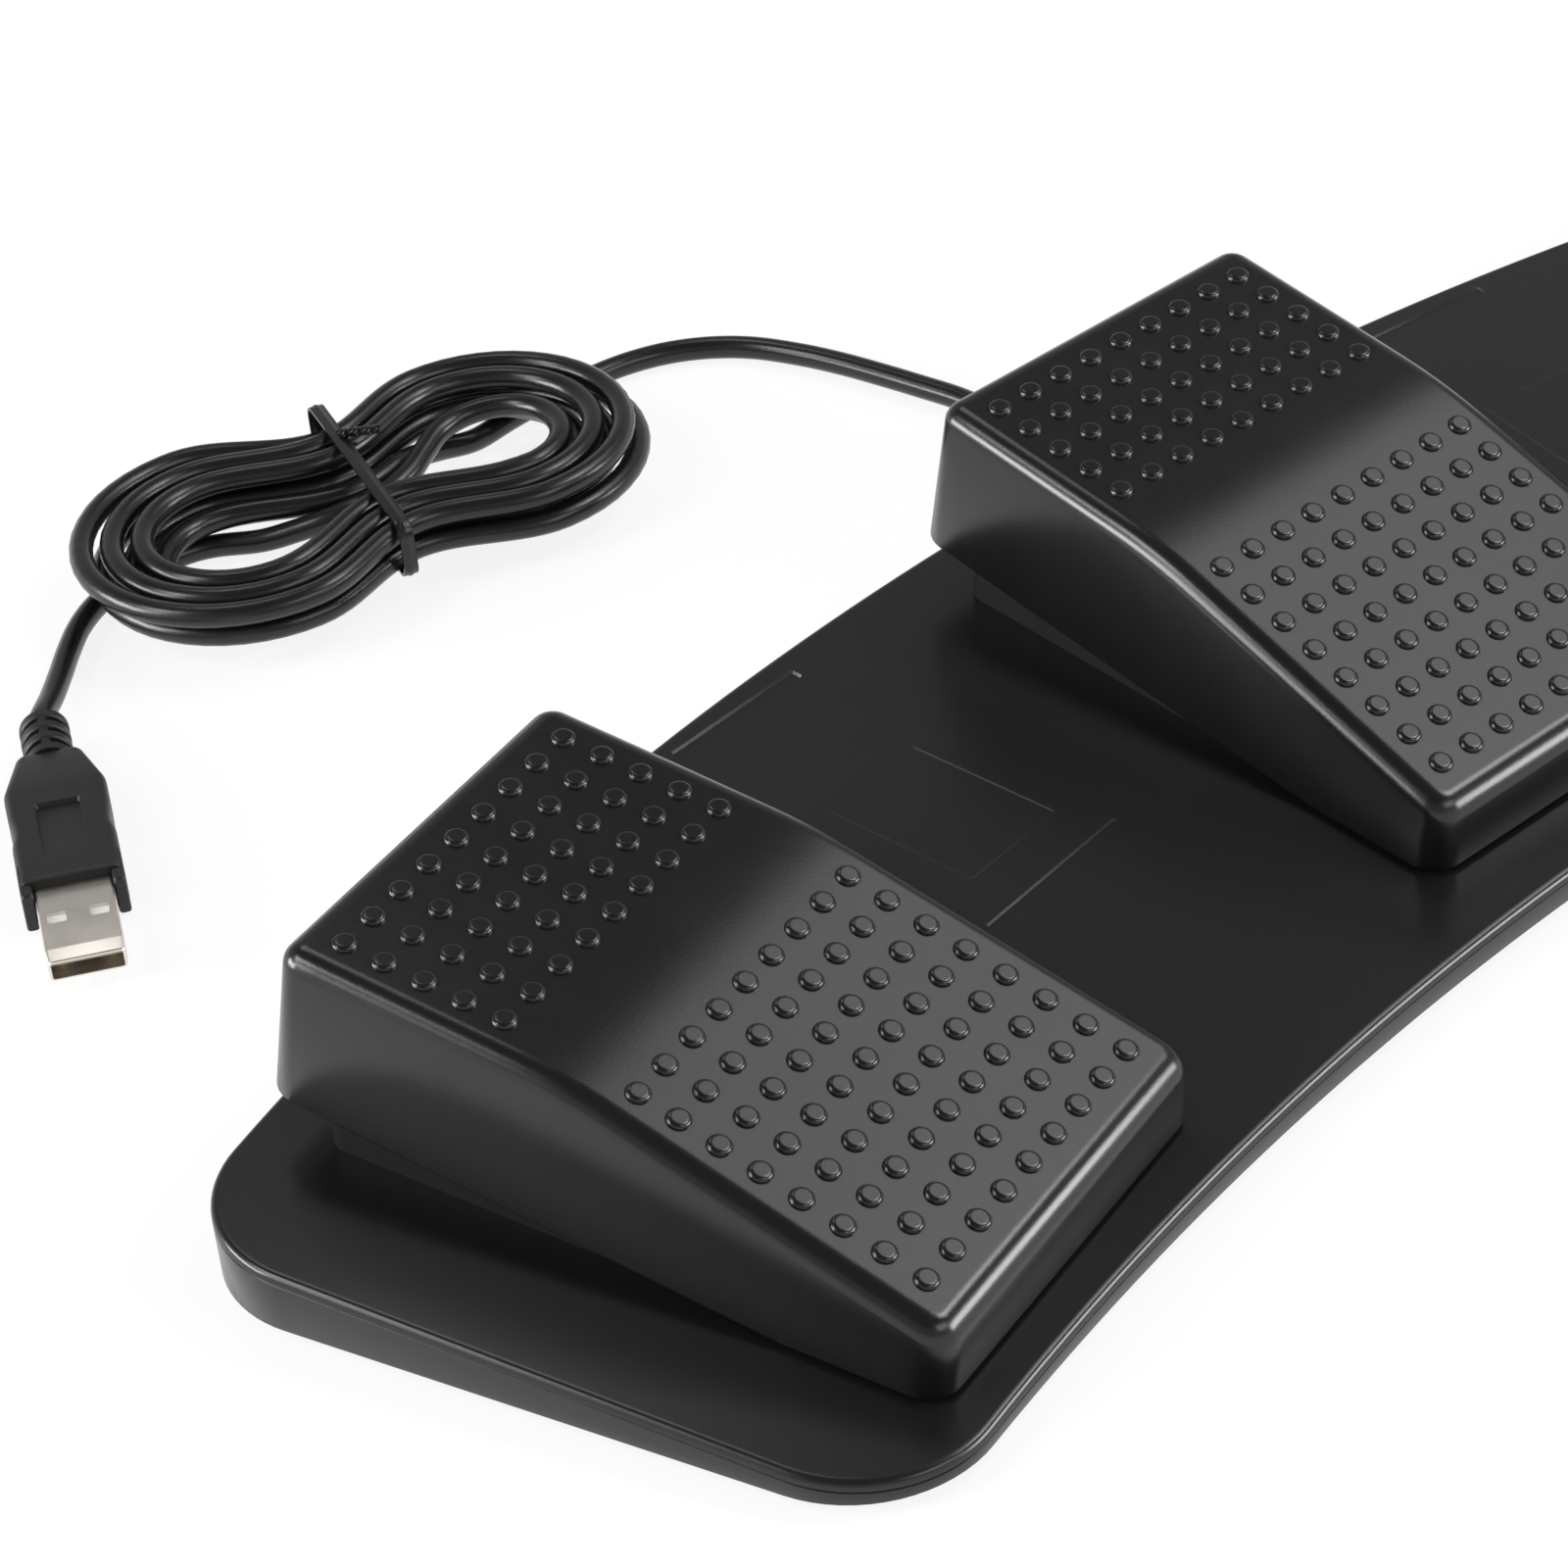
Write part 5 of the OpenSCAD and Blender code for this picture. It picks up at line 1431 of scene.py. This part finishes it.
class Studio:
    """Camera, lights, floor and background.

    The tops of the horizon and the walls, and where walls and ceiling start, are sines of elevation.
    """

    CAMERA_AT = (-0.48420565, -0.45862944, 0.45349639)
    RIGHT = (0.73860872, -0.66775429, -0.09252763)
    DOWN = (-0.43663776, -0.36929723, -0.82034567)
    AHEAD = (0.51361914, 0.64631552, -0.56433290)
    FOCAL_PX = 5347.8196
    FRAME_PX = 1600.0
    SENSOR_MM = 36.0
    CLIP = (0.01, 50.0)
    LAMPS = (
        Lamp("overhead_right", (0.917, 0.0, 1.307), (-0.08, -0.02, 0.03), (0.74, 0.6), 3.2),
        Lamp("low_left", (-1.33, 0.92, 0.36), (-0.08, 0.03, 0.03), (0.9, 0.46), 21.0),
        Lamp("low_right", (0.98, -1.05, 0.38), (-0.08, 0.03, 0.03), (0.8, 0.46), 16.0),
        Lamp("front", (0.15, -1.3, 0.95), (-0.05, 0.0, 0.03), (0.9, 0.5), 4.0),
        Lamp("left_softbox", (-0.965, 0.44, 0.97), (-0.1, 0.0, 0.03), (0.42, 0.34), 4.6),
        Lamp("left_strip", (-1.307, 0.392, 0.622), (-0.1, 0.0, 0.03), (0.3, 0.38), 2.9),
        Lamp("right_softbox", (0.69, -0.35, 1.13), (-0.1, 0.0, 0.03), (0.36, 0.3), 3.9),
        Lamp("rear_ceiling", (0.135, 0.65, 1.14), (-0.17, 0.1, 0.0), (0.4, 0.3), 1.2),
    )
    FLOOR_REACH = 4.0
    FLOOR_Z = -0.0003
    FLOOR_GLOW = 0.95
    FLOOR_WHITE = 0.86
    FLOOR_SHADED = 0.15
    HORIZON_TOP = 0.10
    WALL_FROM = 0.20
    WALL_GLOW = 0.42
    WALL_TOP = 0.55
    CEILING_GLOW = 0.12
    CEILING_FROM = 0.72
    WALL_TINT = (0.96, 0.98, 1.0, 1.0)

    def camera(self) -> bpy.types.Object:
        """Sets the camera that was solved from the photograph.

        Returns:
            The camera.
        """
        data = bpy.data.cameras.new("photo_camera")
        data.sensor_fit = "HORIZONTAL"
        data.sensor_width = self.SENSOR_MM
        data.lens = self.FOCAL_PX / self.FRAME_PX * self.SENSOR_MM
        data.clip_start, data.clip_end = self.CLIP
        camera = add_object("photo_camera", data)
        right, up, back = Vector(self.RIGHT), -Vector(self.DOWN), -Vector(self.AHEAD)
        turn = Matrix((right, up, back)).transposed().to_4x4()
        camera.matrix_world = Matrix.Translation(self.CAMERA_AT) @ turn
        bpy.context.scene.camera = camera
        return camera

    def lights(self) -> None:
        """Hangs the soft lights."""
        for lamp in self.LAMPS:
            data = bpy.data.lights.new(lamp.name, "AREA")
            data.shape = "RECTANGLE"
            data.size, data.size_y = lamp.size
            data.energy = lamp.power
            light = add_object(lamp.name, data)
            place, aim = Vector(lamp.place), Vector(lamp.aim)
            light.location = place
            light.rotation_euler = (aim - place).to_track_quat("-Z", "Y").to_euler()

    @staticmethod
    def _for_sight(tree: bpy.types.NodeTree, lit: bpy.types.NodeSocket, seen: bpy.types.NodeSocket,
                   sink: bpy.types.NodeSocket) -> None:
        """Gives the camera, mirrors and glass one shader and every other ray another.

        Args:
            tree: The node tree.
            lit: The shader that lights the object.
            seen: The shader that is seen, directly or in a reflection.
            sink: The socket that takes the mix.
        """
        path = tree.nodes.new("ShaderNodeLightPath")
        mix = tree.nodes.new("ShaderNodeMixShader")
        sight = path.outputs["Is Camera Ray"]
        for ray in ("Is Glossy Ray", "Is Transmission Ray"):
            either = tree.nodes.new("ShaderNodeMath")
            either.operation = "MAXIMUM"
            tree.links.new(sight, either.inputs[0])
            tree.links.new(path.outputs[ray], either.inputs[1])
            sight = either.outputs[0]
        tree.links.new(sight, mix.inputs["Fac"])
        tree.links.new(lit, mix.inputs[1])
        tree.links.new(seen, mix.inputs[2])
        tree.links.new(mix.outputs[0], sink)

    def floor(self) -> None:
        """Lays the pale floor, seen as white but for the object's faint shadow."""
        mesh = bpy.data.meshes.new("floor")
        corners = [(sx * self.FLOOR_REACH, sy * self.FLOOR_REACH, self.FLOOR_Z)
                   for sx, sy in ((-1, -1), (1, -1), (1, 1), (-1, 1))]
        mesh.from_pydata(corners, [], [(0, 1, 2, 3)])
        material = bpy.data.materials.new("pale_floor")
        material.use_nodes = True
        tree = material.node_tree
        tree.nodes.remove(tree.nodes["Principled BSDF"])
        glow = tree.nodes.new("ShaderNodeEmission")
        glow.inputs["Strength"].default_value = self.FLOOR_GLOW
        white = tree.nodes.new("ShaderNodeEmission")
        white.inputs["Strength"].default_value = self.FLOOR_WHITE
        shaded = tree.nodes.new("ShaderNodeBsdfDiffuse")
        shaded.inputs["Color"].default_value = (*[self.FLOOR_SHADED] * 3, 1.0)
        seen = tree.nodes.new("ShaderNodeAddShader")
        tree.links.new(white.outputs[0], seen.inputs[0])
        tree.links.new(shaded.outputs[0], seen.inputs[1])
        self._for_sight(tree, glow.outputs[0], seen.outputs[0], tree.nodes["Material Output"].inputs[0])
        mesh.materials.append(material)
        floor = add_object("floor", mesh)

    def world(self) -> None:
        """Sets a white horizon, pale walls over it and a dim ceiling."""
        world = bpy.data.worlds.new("studio")
        world.use_nodes = True
        tree = world.node_tree
        lit = tree.nodes["Background"]
        lit.inputs["Color"].default_value = self.WALL_TINT
        place = tree.nodes.new("ShaderNodeTexCoord")
        parts = tree.nodes.new("ShaderNodeSeparateXYZ")
        total = tree.nodes.new("ShaderNodeMath")
        tree.links.new(place.outputs["Generated"], parts.inputs["Vector"])
        ramps = ((self.WALL_TOP, self.CEILING_FROM, self.WALL_GLOW, self.CEILING_GLOW),
                 (self.HORIZON_TOP, self.WALL_FROM, 1.0 - self.WALL_GLOW, 0.0))
        for slot, ends in zip(total.inputs, ramps):
            fade = tree.nodes.new("ShaderNodeMapRange")
            fade.interpolation_type = "SMOOTHSTEP"
            for socket, value in zip(("From Min", "From Max", "To Min", "To Max"), ends):
                fade.inputs[socket].default_value = value
            tree.links.new(parts.outputs["Z"], fade.inputs["Value"])
            tree.links.new(fade.outputs["Result"], slot)
        tree.links.new(total.outputs[0], lit.inputs["Strength"])
        bpy.context.scene.world = world

    def look(self) -> None:
        """Keeps colours as they are."""
        bpy.context.scene.view_settings.view_transform = "Standard"


def dress_nodes() -> None:
    """Gives every CAD node the procedural material of its slot."""
    slots = {s["node"]: s["material_slot"] for s in frame["record"]["subparts"]}
    for name, node in frame["nodes"].items():
        node.data.materials.clear()
        node.data.materials.append(SHOP.get(slots[name]))


def report(*pieces: bpy.types.Object) -> None:
    """Logs each piece's name and kind."""
    for piece in pieces:
        LOG.info("%s: %s", piece.name, piece.type.lower())


def main() -> None:
    """Builds the scene."""
    logging.basicConfig(level=logging.INFO, format="%(message)s")
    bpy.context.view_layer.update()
    studio = Studio()
    studio.camera()
    cord = Cord()
    lead, length = cord.build()
    report(lead)
    LOG.info("cord length %.4f m", length)
    dress_nodes()
    report(*frame["nodes"].values())
    tie = TwistTie(cord).build()
    plug = UsbPlug(cord.size).build()
    report(tie, *plug)
    on_cord = [tie, *plug]
    on_cord += [frame["nodes"][n] for n in ("strain_relief", "plug_tongue", "plug_contacts")]
    base = BasePlate()
    report(base.build())
    studs = StudField(PedalSize())
    covers = PedalCover(studs.size, base.size, studs)
    for side in Side:
        report(covers.build(side))
    studs.clear()
    studio.lights()
    studio.floor()
    studio.world()
    studio.look()


if __name__ == "__main__":
    main()
